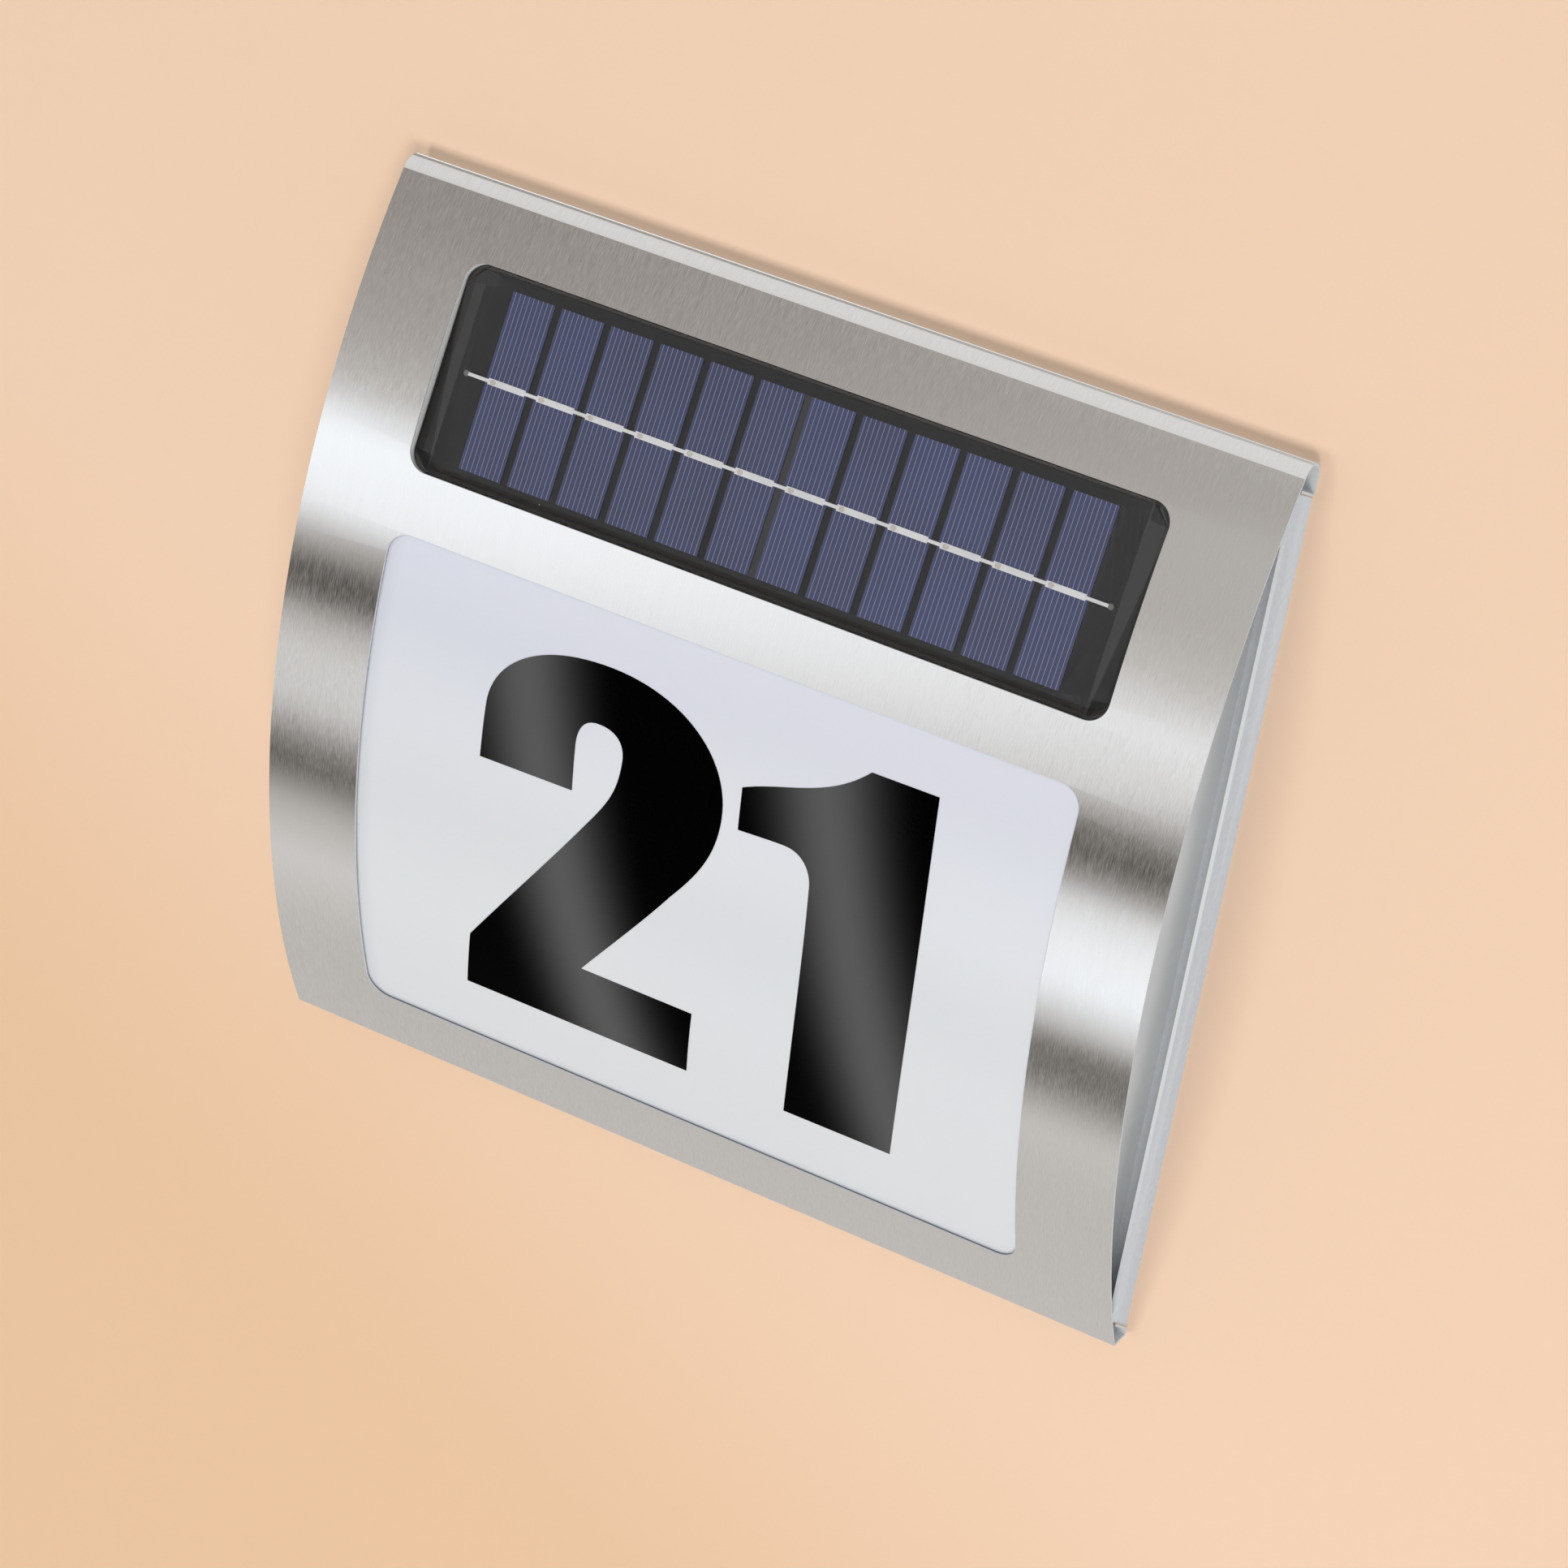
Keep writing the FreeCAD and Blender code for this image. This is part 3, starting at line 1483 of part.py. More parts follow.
def make_leads():
    """Leads from the lamps, the panel and the cell to the circuit board."""
    lamp_z = size.board_bottom + size.lead_lift
    panel_x = size.board_left + size.board_width - size.panel_lead_inset

    # The panel's solder points, on the back of its board at half height.
    lean_angle = math.radians(size.panel_angle)
    inward = Vector(0, math.cos(lean_angle), -math.sin(lean_angle))
    solder = Vector(0, size.bow_axis, 0) - inward * size.panel_rear

    lamp_leads = []
    panel_leads = []
    for spread in (-size.lead_pair_pitch / 2, size.lead_pair_pitch / 2):
        x = size.lead_across + spread
        stops = [
            Vector(x, size.board_face, lamp_z),
            Vector(x, size.lamp_axis, lamp_z),
            Vector(x, size.lamp_axis, size.light_top),
        ]
        lamp_leads.append(lead("lamp lead", stops, size.lead_radius))
        start = solder + X_AXIS * (panel_x + spread)
        corner = start + inward * size.lead_lift
        stops = [start, corner, Vector(corner.x, size.board_face, corner.z)]
        panel_leads.append(lead("panel lead", stops, size.lead_radius))

    depth = -size.cell_lead_depth
    left = size.bay_left + size.contact_thickness / 2
    positive_z = size.battery_height + size.lead_lift / 2
    negative_z = size.bay_high + size.bay_wall + size.lead_lift / 2
    negative_x = size.board_left + size.lead_lift
    positive_x = negative_x + size.lead_lift
    cell_leads = [
        lead(
            "positive lead",
            [
                Vector(size.bay_right, depth, positive_z),
                Vector(positive_x, depth, positive_z),
                Vector(positive_x, size.board_face, positive_z),
            ],
            size.lead_radius,
        ),
        lead(
            "negative lead",
            [
                Vector(left, depth, size.battery_height + size.contact_size / 2),
                Vector(left, depth, negative_z),
                Vector(negative_x, depth, negative_z),
                Vector(negative_x, size.board_face, negative_z),
            ],
            size.lead_radius,
        ),
    ]
    made = {"lamp_leads": lamp_leads, "panel_leads": panel_leads, "cell_leads": cell_leads}
    for node, leads in made.items():
        feature = document.addObject("Part::Feature", node)
        feature.Shape = Part.makeCompound(leads)
        keep(node, feature)


def check_and_export():
    document.recompute()
    failed = [item.Name for item in document.Objects if {"Invalid", "Error"} & set(item.State)]
    if failed:
        raise RuntimeError(f"failed: {', '.join(failed)}")
    os.makedirs("parts", exist_ok=True)
    for node, item in NODES.items():
        shape = item.Shape
        if shape.isNull() or not shape.isValid() or not shape.Solids:
            raise RuntimeError(f"{node} has no valid shape")
        shape.exportStep(f"parts/{node}.step")
        print(f"{node}: {len(shape.Solids)} solid(s), {shape.Volume:.1f} mm3")


make_cover()
make_plate(plate_cutouts())
make_housing()
make_window()
make_panel()
make_battery()
make_door()
make_board()
make_switch()
make_lamps()
make_screws()
make_leads()
check_and_export()
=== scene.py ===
# %% [markdown]
# # A solar house number sign
#
# The sign hangs on a wall beside a front door. A bowed sheet of brushed steel is folded into a
# tube along its top and bottom edges. It has two openings: a large one over an opal window that
# carries the number, and a narrow one over a solar panel that slopes up to catch the sky.
#
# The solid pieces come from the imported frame, and this script dresses them: it gives each one a
# finish made of nodes and adds the small things that solids leave out, such as the number film,
# the solder on the panel's ribbon, the windings of the coil and the crosses in the screws.

import math

import bmesh
import bpy
from mathutils import Matrix, Vector


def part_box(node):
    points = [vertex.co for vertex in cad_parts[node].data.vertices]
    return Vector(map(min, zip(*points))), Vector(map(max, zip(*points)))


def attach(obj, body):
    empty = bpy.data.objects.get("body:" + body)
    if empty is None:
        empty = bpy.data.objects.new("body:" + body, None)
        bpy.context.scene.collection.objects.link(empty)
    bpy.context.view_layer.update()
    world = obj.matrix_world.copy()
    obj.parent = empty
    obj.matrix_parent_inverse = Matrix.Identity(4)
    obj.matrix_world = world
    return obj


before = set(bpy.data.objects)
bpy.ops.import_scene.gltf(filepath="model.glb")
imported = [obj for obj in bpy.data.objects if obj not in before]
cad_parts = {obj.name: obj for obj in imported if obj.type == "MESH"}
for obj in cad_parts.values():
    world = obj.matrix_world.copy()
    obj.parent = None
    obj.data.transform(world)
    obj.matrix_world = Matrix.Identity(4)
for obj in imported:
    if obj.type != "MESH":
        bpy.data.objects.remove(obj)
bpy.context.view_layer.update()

MM = 0.001

# %% [markdown]
# ## Camera
#
# The picture was taken from the right of the sign, above it, with a long lens turned a little to
# one side. A camera is placed by where it stands and by the two directions that matter: where it
# looks, and which way is up in the picture.

# %% Camera
LENS = 112.08
CAMERA_PLACE = Vector((0.36867, -0.81643, 0.43017))
LOOK = Vector((-0.3673, 0.8194, -0.4402)).normalized()
PICTURE_UP = Vector((-0.3370, 0.3239, 0.8841))

camera_data = bpy.data.cameras.new("camera")
camera_data.lens = LENS
camera_data.sensor_width = 36.0
camera_data.clip_start = 0.02
camera = bpy.data.objects.new("camera", camera_data)
bpy.context.scene.collection.objects.link(camera)
picture_right = LOOK.cross(PICTURE_UP).normalized()
picture_up = picture_right.cross(LOOK)
turn = Matrix((picture_right, picture_up, -LOOK)).transposed()
camera.matrix_world = Matrix.Translation(CAMERA_PLACE) @ turn.to_4x4()
bpy.context.scene.camera = camera
print("camera stands", round(CAMERA_PLACE.length, 2), "m from the sign")

# %% [markdown]
# ## Making materials from nodes
#
# A finish is a small tree of nodes that ends in one Principled shader. A few helpers keep the
# trees short: one adds a node and sets its inputs, one does arithmetic, one mixes two colours.


# %% Node helpers
def add(tree, kind, inputs=None, **settings):
    """A node with its settings and inputs. An input is a number, a colour or another socket."""
    node = tree.nodes.new(kind)
    for name, value in settings.items():
        setattr(node, name, value)
    for key, value in (inputs or {}).items():
        if isinstance(value, bpy.types.NodeSocket):
            tree.links.new(value, node.inputs[key])
        else:
            node.inputs[key].default_value = value
    return node


def calc(tree, operation, *values, clamp=False):
    """One step of arithmetic."""
    node = add(tree, "ShaderNodeMath", dict(enumerate(values)), operation=operation, use_clamp=clamp)
    return node.outputs[0]


def blend_colours(tree, share, first, second):
    """The first colour where the share is 0, and the second where it is 1."""
    node = add(tree, "ShaderNodeMix", data_type="RGBA")
    for socket, value in ((0, share), (6, first), (7, second)):
        if isinstance(value, bpy.types.NodeSocket):
            tree.links.new(value, node.inputs[socket])
        else:
            node.inputs[socket].default_value = value
    return node.outputs[2]


def grade(tree, value, low, high, to_low=0.0, to_high=1.0):
    """A smooth step from one level to another."""
    node = add(
        tree,
        "ShaderNodeMapRange",
        {0: value, 1: low, 2: high, 3: to_low, 4: to_high},
        interpolation_type="SMOOTHSTEP",
    )
    return node.outputs[0]


def grey(level):
    return (level, level, level, 1.0)


def opaque(colour, factor=1.0):
    """A colour made darker or lighter by a factor."""
    return tuple(min(1.0, factor * part) for part in colour) + (1.0,)


def split(tree, vector):
    """The x, y and z of a vector."""
    return add(tree, "ShaderNodeSeparateXYZ", {0: vector}).outputs


def start_material(name, **inputs):
    """A material with one Principled shader, its tree and the Object coordinates."""
    material = bpy.data.materials.new(name)
    material.use_nodes = True
    tree = material.node_tree
    tree.nodes.clear()
    shader = add(tree, "ShaderNodeBsdfPrincipled", {key.replace("_", " "): v for key, v in inputs.items()})
    output = add(tree, "ShaderNodeOutputMaterial")
    tree.links.new(shader.outputs[0], output.inputs["Surface"])
    place = add(tree, "ShaderNodeTexCoord").outputs["Object"]
    return material, tree, shader, place


def bump(tree, shader, height, strength, distance):
    """Let a height pattern tilt the surface a little."""
    node = add(tree, "ShaderNodeBump", {"Height": height, "Strength": strength, "Distance": distance})
    tree.links.new(node.outputs[0], shader.inputs["Normal"])


# %% [markdown]
# ## Shared effects
#
# Three effects come back on many pieces, so each is a node group with named inputs: a fine grain
# for moulded and painted surfaces, long drawn lines for brushed metal, and a slow mottling that
# keeps large plain faces from looking flat.


# %% Shared effects
def start_group(name, inputs, outputs):
    """An empty node group. An input whose default is None is a vector."""
    group = bpy.data.node_groups.new(name, "ShaderNodeTree")
    for label, default in inputs.items():
        kind = "NodeSocketVector" if default is None else "NodeSocketFloat"
        socket = group.interface.new_socket(label, in_out="INPUT", socket_type=kind)
        if default is not None:
            socket.default_value = default
    for label in outputs:
        group.interface.new_socket(label, in_out="OUTPUT", socket_type="NodeSocketFloat")
    return group, group.nodes.new("NodeGroupInput").outputs, group.nodes.new("NodeGroupOutput").inputs


def noise_group(name, label, scale, detail):
    """A noise that varies around zero."""
    group, given, result = start_group(name, {"Place": None, "Scale": scale}, [label])
    pattern = {"Vector": given["Place"], "Scale": given["Scale"], "Detail": detail}
    noise = add(group, "ShaderNodeTexNoise", pattern)
    group.links.new(calc(group, "SUBTRACT", noise.outputs[0], 0.5), result[label])
    return group


grain_group = noise_group("fine_grain", "Grain", 900.0, 3.0)
mottle_group = noise_group("mottle", "Mottle", 25.0, 4.0)

STREAK_SCALE = (0.11, 0.16, 0.16)

brush_group, given, result = start_group(
    "brushed_lines", {"Place": None, "Across": 6500.0, "Along": 500.0}, ["Lines", "Streaks"]
)
counts = add(brush_group, "ShaderNodeCombineXYZ", {0: given["Across"], 1: given["Along"], 2: given["Along"]})
spread = {0: given["Place"], 1: counts.outputs[0]}
narrow = add(brush_group, "ShaderNodeVectorMath", spread, operation="MULTIPLY").outputs[0]
wide = add(brush_group, "ShaderNodeVectorMath", {0: narrow, 1: STREAK_SCALE}, operation="MULTIPLY").outputs[0]
for label, where in (("Lines", narrow), ("Streaks", wide)):
    noise = add(brush_group, "ShaderNodeTexNoise", {"Vector": where, "Scale": 1.0, "Detail": 2.0})
    brush_group.links.new(calc(brush_group, "SUBTRACT", noise.outputs[0], 0.5), result[label])


def use(tree, group, place, **inputs):
    """Place a shared effect in a material and return its outputs."""
    node = tree.nodes.new("ShaderNodeGroup")
    node.node_tree = group
    tree.links.new(place, node.inputs["Place"])
    for name, value in inputs.items():
        node.inputs[name].default_value = value
    return node.outputs


print("shared effects:", [group.name for group in bpy.data.node_groups])

# %% [markdown]
# ## Brushed steel
#
# The steel was drawn through an abrasive belt from top to bottom, so fine lines run up and down.
# Each line mirrors the room and spreads it sideways, across the lines. The shader does the
# spreading with its anisotropic setting, turned a quarter against a tangent that runs up the bow,
# and the lines themselves come from a noise that is stretched along them. The inner side of the
# sheet was never brushed: it is a dull, pale mill finish, found by asking whether a face looks
# towards the axis of the bow or of its fold. Faces that turn sideways, the cover's cut edges and
# ends, get the same pale colour as a painted highlight, so that they show as bright lines. The
# back plate is a duller steel, and the cut edges of its flanges, in front, carry a painted
# highlight: a thin, nearly white line.


# %% Brushed steel
BOW_AXIS = (0.1564, 0.0)
TOP_FOLD = (-0.0043, 0.0936)
BOTTOM_FOLD = (-0.0033, -0.0962)
FOLD_REACH = 0.0089
FACING_LEAST = 0.0001
MILL_FINISH = (0.82, 0.83, 0.84, 1.0)
MILL_METALLIC = 0.15
MILL_ROUGHER = 0.35
CUT_EDGE_TURN = 0.8
TONES = (0.86, 1.14)
LINE_TONE, STREAK_TONE, CLOUD_TONE = 0.9, 0.15, 0.08
LINE_ROUGHNESS, STREAK_ROUGHNESS = 0.25, 0.06
PLATE_METALLIC = 0.35
PLATE_EDGE_HIGHLIGHT = (0.98, 0.99, 1.0, 1.0)
PLATE_EDGE_FACING = -0.9
PLATE_EDGE_REACH = -0.0095


def faces_towards(tree, place, normal, middle):
    """Whether a face looks towards a line along x, given as y and z, and how far off the line is."""
    away = add(tree, "ShaderNodeVectorMath", {0: place, 1: (0.0, *middle)}, operation="SUBTRACT")
    flat = add(tree, "ShaderNodeVectorMath", {0: away.outputs[0], 1: (0.0, 1.0, 1.0)}, operation="MULTIPLY")
    reach = add(tree, "ShaderNodeVectorMath", {0: flat.outputs[0]}, operation="LENGTH")
    facing = add(tree, "ShaderNodeVectorMath", {0: flat.outputs[0], 1: normal}, operation="DOT_PRODUCT")
    return calc(tree, "LESS_THAN", facing.outputs["Value"], -FACING_LEAST), reach.outputs["Value"]


def inner_side(tree, place, normal):
    """A mask of the sheet's inner side: behind the bow, and inside the two folds."""
    inner = faces_towards(tree, place, normal, BOW_AXIS)[0]
    for middle in (TOP_FOLD, BOTTOM_FOLD):
        towards, reach = faces_towards(tree, place, normal, middle)
        in_fold = calc(tree, "LESS_THAN", reach, FOLD_REACH)
        inner = calc(tree, "MAXIMUM", inner, calc(tree, "MULTIPLY", towards, in_fold))
    return inner


def brushed_steel(name, colour, roughness, across, along):
    """A brushed material whose colour and roughness are still to be linked to its shader."""
    material, tree, shader, place = start_material(name, Anisotropic=0.75, Anisotropic_Rotation=0.25)
    tangent = add(tree, "ShaderNodeTangent", direction_type="RADIAL", axis="X")
    tree.links.new(tangent.outputs[0], shader.inputs["Tangent"])
    brush = use(tree, brush_group, place, Across=across, Along=along)
    cloud = use(tree, mottle_group, place, Scale=18.0)["Mottle"]
    tone = calc(tree, "MULTIPLY_ADD", brush["Lines"], LINE_TONE, 0.5)
    tone = calc(tree, "MULTIPLY_ADD", brush["Streaks"], STREAK_TONE, tone)
    tone = calc(tree, "MULTIPLY_ADD", cloud, CLOUD_TONE, tone)
    dark, bright = (opaque(colour, factor) for factor in TONES)
    face = blend_colours(tree, tone, dark, bright)
    rough = calc(tree, "MULTIPLY_ADD", brush["Lines"], LINE_ROUGHNESS, roughness)
    rough = calc(tree, "MULTIPLY_ADD", brush["Streaks"], STREAK_ROUGHNESS, rough)
    bump(tree, shader, calc(tree, "ADD", brush["Lines"], brush["Streaks"]), 0.25, 0.00002)
    return material, tree, shader, place, face, rough


cover_steel, tree, shader, place, face, rough = brushed_steel(
    "cover_steel", (0.655, 0.655, 0.658), 0.17, 6500.0, 500.0
)
normal = add(tree, "ShaderNodeNewGeometry").outputs["Normal"]
inner = inner_side(tree, place, normal)
# Painted highlight: faces that turn sideways, the cut edges and ends, take the pale mill colour so that they
# show as bright lines.
sideways = calc(tree, "ABSOLUTE", split(tree, normal)[0])
inner = calc(tree, "MAXIMUM", inner, calc(tree, "GREATER_THAN", sideways, CUT_EDGE_TURN))
tree.links.new(blend_colours(tree, inner, face, MILL_FINISH), shader.inputs["Base Color"])
tree.links.new(calc(tree, "MULTIPLY_ADD", inner, MILL_METALLIC - 1.0, 1.0), shader.inputs["Metallic"])
tree.links.new(calc(tree, "MULTIPLY_ADD", inner, MILL_ROUGHER, rough), shader.inputs["Roughness"])

plate_steel, tree, shader, place, face, rough = brushed_steel(
    "plate_steel", (0.78, 0.80, 0.83), 0.42, 3500.0, 900.0
)
normal = add(tree, "ShaderNodeNewGeometry").outputs["Normal"]
# Painted highlight: the front-facing cut edge of each flange is coloured nearly white, as a thin bright line.
faces_front = calc(tree, "LESS_THAN", split(tree, normal)[1], PLATE_EDGE_FACING)
in_front = calc(tree, "LESS_THAN", split(tree, place)[1], PLATE_EDGE_REACH)
edge_highlight = calc(tree, "MULTIPLY", faces_front, in_front)
tree.links.new(blend_colours(tree, edge_highlight, face, PLATE_EDGE_HIGHLIGHT), shader.inputs["Base Color"])
tree.links.new(rough, shader.inputs["Roughness"])
shader.inputs["Metallic"].default_value = PLATE_METALLIC


# %% [markdown]
# ## Moulded plastic and rubber
#
# Moulded pieces carry a fine spark-eroded grain from the tool and a very slight unevenness in
# colour. One function makes all of them, with its own colour, gloss and grain for each.


# %% Moulded plastic
UNEVENNESS = 0.06
CLOUD_SHARE = 1.6
GRAIN_SHARE = 0.5
GRAIN_ROUGHNESS = 0.2


def moulded(name, colour, roughness, grain=900.0, grain_depth=0.00002):
    material, tree, shader, place = start_material(name)
    speck = use(tree, grain_group, place, Scale=grain)["Grain"]
    cloud = use(tree, mottle_group, place)["Mottle"]
    darker, lighter = opaque(colour, 1.0 - UNEVENNESS), opaque(colour, 1.0 + UNEVENNESS)
    share = calc(tree, "MULTIPLY_ADD", cloud, CLOUD_SHARE, 0.5)
    share = calc(tree, "MULTIPLY_ADD", speck, GRAIN_SHARE, share, clamp=True)
    tree.links.new(blend_colours(tree, share, darker, lighter), shader.inputs["Base Color"])
    tree.links.new(calc(tree, "MULTIPLY_ADD", speck, GRAIN_ROUGHNESS, roughness), shader.inputs["Roughness"])
    bump(tree, shader, speck, 0.3, grain_depth)
    return material


housing_plastic = moulded("housing_plastic", (0.91, 0.91, 0.90), 0.5)
white_sheet = moulded("white_sheet", (0.86, 0.86, 0.84), 0.6, grain=1600.0)
seal_foam = moulded("seal_foam", (0.09, 0.09, 0.095), 0.9, grain=700.0, grain_depth=0.0001)
chip_black = moulded("chip_black", (0.018, 0.018, 0.020), 0.55, grain=2500.0)
knob_black = moulded("knob_black", (0.03, 0.03, 0.033), 0.45)
ferrite = moulded("ferrite", (0.055, 0.055, 0.057), 0.7, grain=1200.0)
red_lead = moulded("red_lead", (0.45, 0.02, 0.02), 0.4, grain=600.0)
lamp_resin = moulded("lamp_resin", (0.86, 0.80, 0.55), 0.12, grain_depth=0.000005)

# %% [markdown]
# ## Plain metals
#
# Screws, contacts and solder are small, so turned or plated metal needs only a fine grain and an
# even, slightly rough mirror.


# %% Plain metals
TARNISH = 0.8


def plated(name, colour, roughness):
    material, tree, shader, place = start_material(name, Metallic=1.0)
    speck = use(tree, grain_group, place, Scale=2200.0)["Grain"]
    cloud = use(tree, mottle_group, place, Scale=220.0)["Mottle"]
    share = calc(tree, "MULTIPLY_ADD", cloud, 1.4, 0.5, clamp=True)
    metal = blend_colours(tree, share, opaque(colour, TARNISH), opaque(colour))
    tree.links.new(metal, shader.inputs["Base Color"])
    tree.links.new(calc(tree, "MULTIPLY_ADD", speck, 0.3, roughness), shader.inputs["Roughness"])
    bump(tree, shader, speck, 0.2, 0.00001)
    return material


screw_steel = plated("screw_steel", (0.62, 0.62, 0.61), 0.25)
contact_nickel = plated("contact_nickel", (0.66, 0.64, 0.60), 0.3)
solder_tin = plated("solder_tin", (0.92, 0.94, 0.98), 0.35)
can_aluminium = plated("can_aluminium", (0.60, 0.61, 0.63), 0.35)
copper_wire = plated("copper_wire", (0.62, 0.28, 0.14), 0.3)

# %% [markdown]
# ## Shrink sleeve of the rechargeable cell
#
# The cell is a steel can in a shrunk plastic sleeve. The sleeve is green with one dark band near
# its positive end, and it leaves the two metal ends bare. The cell lies along x, so the distance
# along x says which of the three a point belongs to.

# %% Shrink sleeve
BARE_FROM = -0.0130
BARE_UNTIL = -0.0617
BAND = (-0.0215, -0.0160)
SLEEVE_GREENS = ((0.05, 0.27, 0.15, 1.0), (0.07, 0.33, 0.19, 1.0))
BAND_BLACK = (0.03, 0.03, 0.035, 1.0)
BARE_METAL = (0.66, 0.64, 0.60, 1.0)

cell_sleeve, tree, shader, place = start_material("cell_sleeve")
along = split(tree, place)[0]
bare_end = calc(tree, "GREATER_THAN", along, BARE_FROM)
bare = calc(tree, "MAXIMUM", bare_end, calc(tree, "LESS_THAN", along, BARE_UNTIL))
band_begun = calc(tree, "GREATER_THAN", along, BAND[0])
in_band = calc(tree, "MULTIPLY", band_begun, calc(tree, "LESS_THAN", along, BAND[1]))
cloud = use(tree, mottle_group, place, Scale=120.0)["Mottle"]
share = calc(tree, "MULTIPLY_ADD", cloud, 1.5, 0.5, clamp=True)
green = blend_colours(tree, share, *SLEEVE_GREENS)
sleeve = blend_colours(tree, in_band, green, BAND_BLACK)
tree.links.new(blend_colours(tree, bare, sleeve, BARE_METAL), shader.inputs["Base Color"])
tree.links.new(bare, shader.inputs["Metallic"])
tree.links.new(calc(tree, "MULTIPLY_ADD", cloud, 0.1, 0.28), shader.inputs["Roughness"])
bump(tree, shader, cloud, 0.1, 0.00002)

# %% [markdown]
# ## Opal window
#
# The window is opal acrylic: white through and through, and smooth. Towards the top its colour
# turns a little blue, a painted reflection of the sky, so it changes slowly with height. Its edge
# and a strip along its left side are painted darker, a painted shade from the steel.

# %% Opal window
WINDOW_HALF_WIDTH = 0.0787
WINDOW_MIDDLE = -0.0268
WINDOW_HALF_HEIGHT = 0.0572
WINDOW_CORNER = 0.005
EDGE_SHADE = (-0.0005, 0.0010)
SIDE_SHADE = 0.0045
SIDE_SHARE = 0.25
SKY_HEIGHTS = (-0.03, 0.032)
MILK_AND_SKY_TINT = ((0.660, 0.682, 0.705, 1.0), (0.655, 0.668, 0.755, 1.0))
PAINTED_EDGE_SHADE = (0.47, 0.49, 0.53, 1.0)
PAINTED_SIDE_SHADE = (0.42, 0.44, 0.50, 1.0)


def edge_distance(tree, across, along, half_width, half_height, corner):
    """How far a point lies inside a rectangle with rounded corners."""
    beyond = []
    for value, half in ((across, half_width), (along, half_height)):
        beyond.append(calc(tree, "SUBTRACT", calc(tree, "ABSOLUTE", value), half - corner))
    outside = add(tree, "ShaderNodeCombineXYZ", dict(enumerate(
        calc(tree, "MAXIMUM", value, 0.0) for value in beyond
    )))
    reach = add(tree, "ShaderNodeVectorMath", {0: outside.outputs[0]}, operation="LENGTH").outputs["Value"]
    inside = calc(tree, "MINIMUM", calc(tree, "MAXIMUM", *beyond), 0.0)
    return calc(tree, "SUBTRACT", corner, calc(tree, "ADD", reach, inside))


opal, tree, shader, place = start_material(
    "opal_acrylic", Roughness=0.22, Coat_Weight=0.2, Coat_Roughness=0.08, Coat_IOR=1.49
)
apart = split(tree, place)
# Painted reflection: the white turns a little blue towards the top, where the window faces the sky.
rise = grade(tree, apart[2], *SKY_HEIGHTS)
cloud = use(tree, mottle_group, place, Scale=14.0)["Mottle"]
milk_and_sky_tint = blend_colours(tree, rise, *MILK_AND_SKY_TINT)
milk = blend_colours(tree, calc(tree, "MULTIPLY_ADD", cloud, 0.5, 0.1, clamp=True), milk_and_sky_tint, grey(0.73))
# Painted shade: the edge next to the steel and a strip along the left side are made darker.
from_middle = calc(tree, "SUBTRACT", apart[2], WINDOW_MIDDLE)
depth = edge_distance(tree, apart[0], from_middle, WINDOW_HALF_WIDTH, WINDOW_HALF_HEIGHT, WINDOW_CORNER)
milk = blend_colours(tree, grade(tree, depth, *EDGE_SHADE), PAINTED_EDGE_SHADE, milk)
from_left = calc(tree, "ADD", apart[0], WINDOW_HALF_WIDTH)
shaded = grade(tree, from_left, 0.0, SIDE_SHADE, SIDE_SHARE, 0.0)
tree.links.new(blend_colours(tree, shaded, milk, PAINTED_SIDE_SHADE), shader.inputs["Base Color"])
speck = use(tree, grain_group, place, Scale=1200.0)["Grain"]
bump(tree, shader, speck, 0.12, 0.00001)

# %% [markdown]
# ## Number film
#
# The figures are cut from black film. A painted grey sheen, a painted reflection, runs across them
# at a slant, in wide waves. The wave is a cosine of a slanting distance, so it is the same from
# every side.

# %% Number film
SHEEN_WIDTH = 0.069
SHEEN_PLACE = -0.039
SHEEN_SLANT = 0.33
SHEEN_SHARPNESS = 4.5
SHEEN_GREY = 0.09

film, tree, shader, place = start_material("number_film", Roughness=0.5, Specular_IOR_Level=0.01)
apart = split(tree, place)
# Painted sheen: the grey waves stand in for the reflection on the glossy black film.
distance = calc(tree, "MULTIPLY_ADD", apart[2], SHEEN_SLANT, apart[0])
angle = calc(tree, "MULTIPLY", calc(tree, "SUBTRACT", distance, SHEEN_PLACE), 2 * math.pi / SHEEN_WIDTH)
wave = calc(tree, "MULTIPLY_ADD", calc(tree, "COSINE", angle), 0.5, 0.5)
sheen = calc(tree, "POWER", wave, SHEEN_SHARPNESS)
speck = use(tree, grain_group, place, Scale=2600.0)["Grain"]
sheen = calc(tree, "MULTIPLY_ADD", speck, 0.04, sheen, clamp=True)
tree.links.new(blend_colours(tree, sheen, grey(0.0), grey(SHEEN_GREY)), shader.inputs["Base Color"])
bump(tree, shader, speck, 0.1, 0.000005)

# %% [markdown]
# ## Solar panel
#
# Twelve strips of silicon lie side by side on a black board. Their blue comes from a thin coating
# that varies a little from strip to strip. Fine silver fingers run up each strip, and a ribbon
# crosses them all. The pattern depends only on the distance along the panel, so its lean makes no
# difference to it.

# %% Silicon cells
CELL_PITCH = 0.0114
FINGER_PITCH = 0.00105
FINGER_HALF = 0.00004
CELL_BLUES = ((0.017, 0.024, 0.070, 1.0), (0.029, 0.039, 0.122, 1.0))
FINGER_SILVER = (0.20, 0.23, 0.35, 1.0)
RESIN_GLOSS = {"Coat_Weight": 1.0, "Coat_Roughness": 0.06, "Coat_IOR": 1.5}

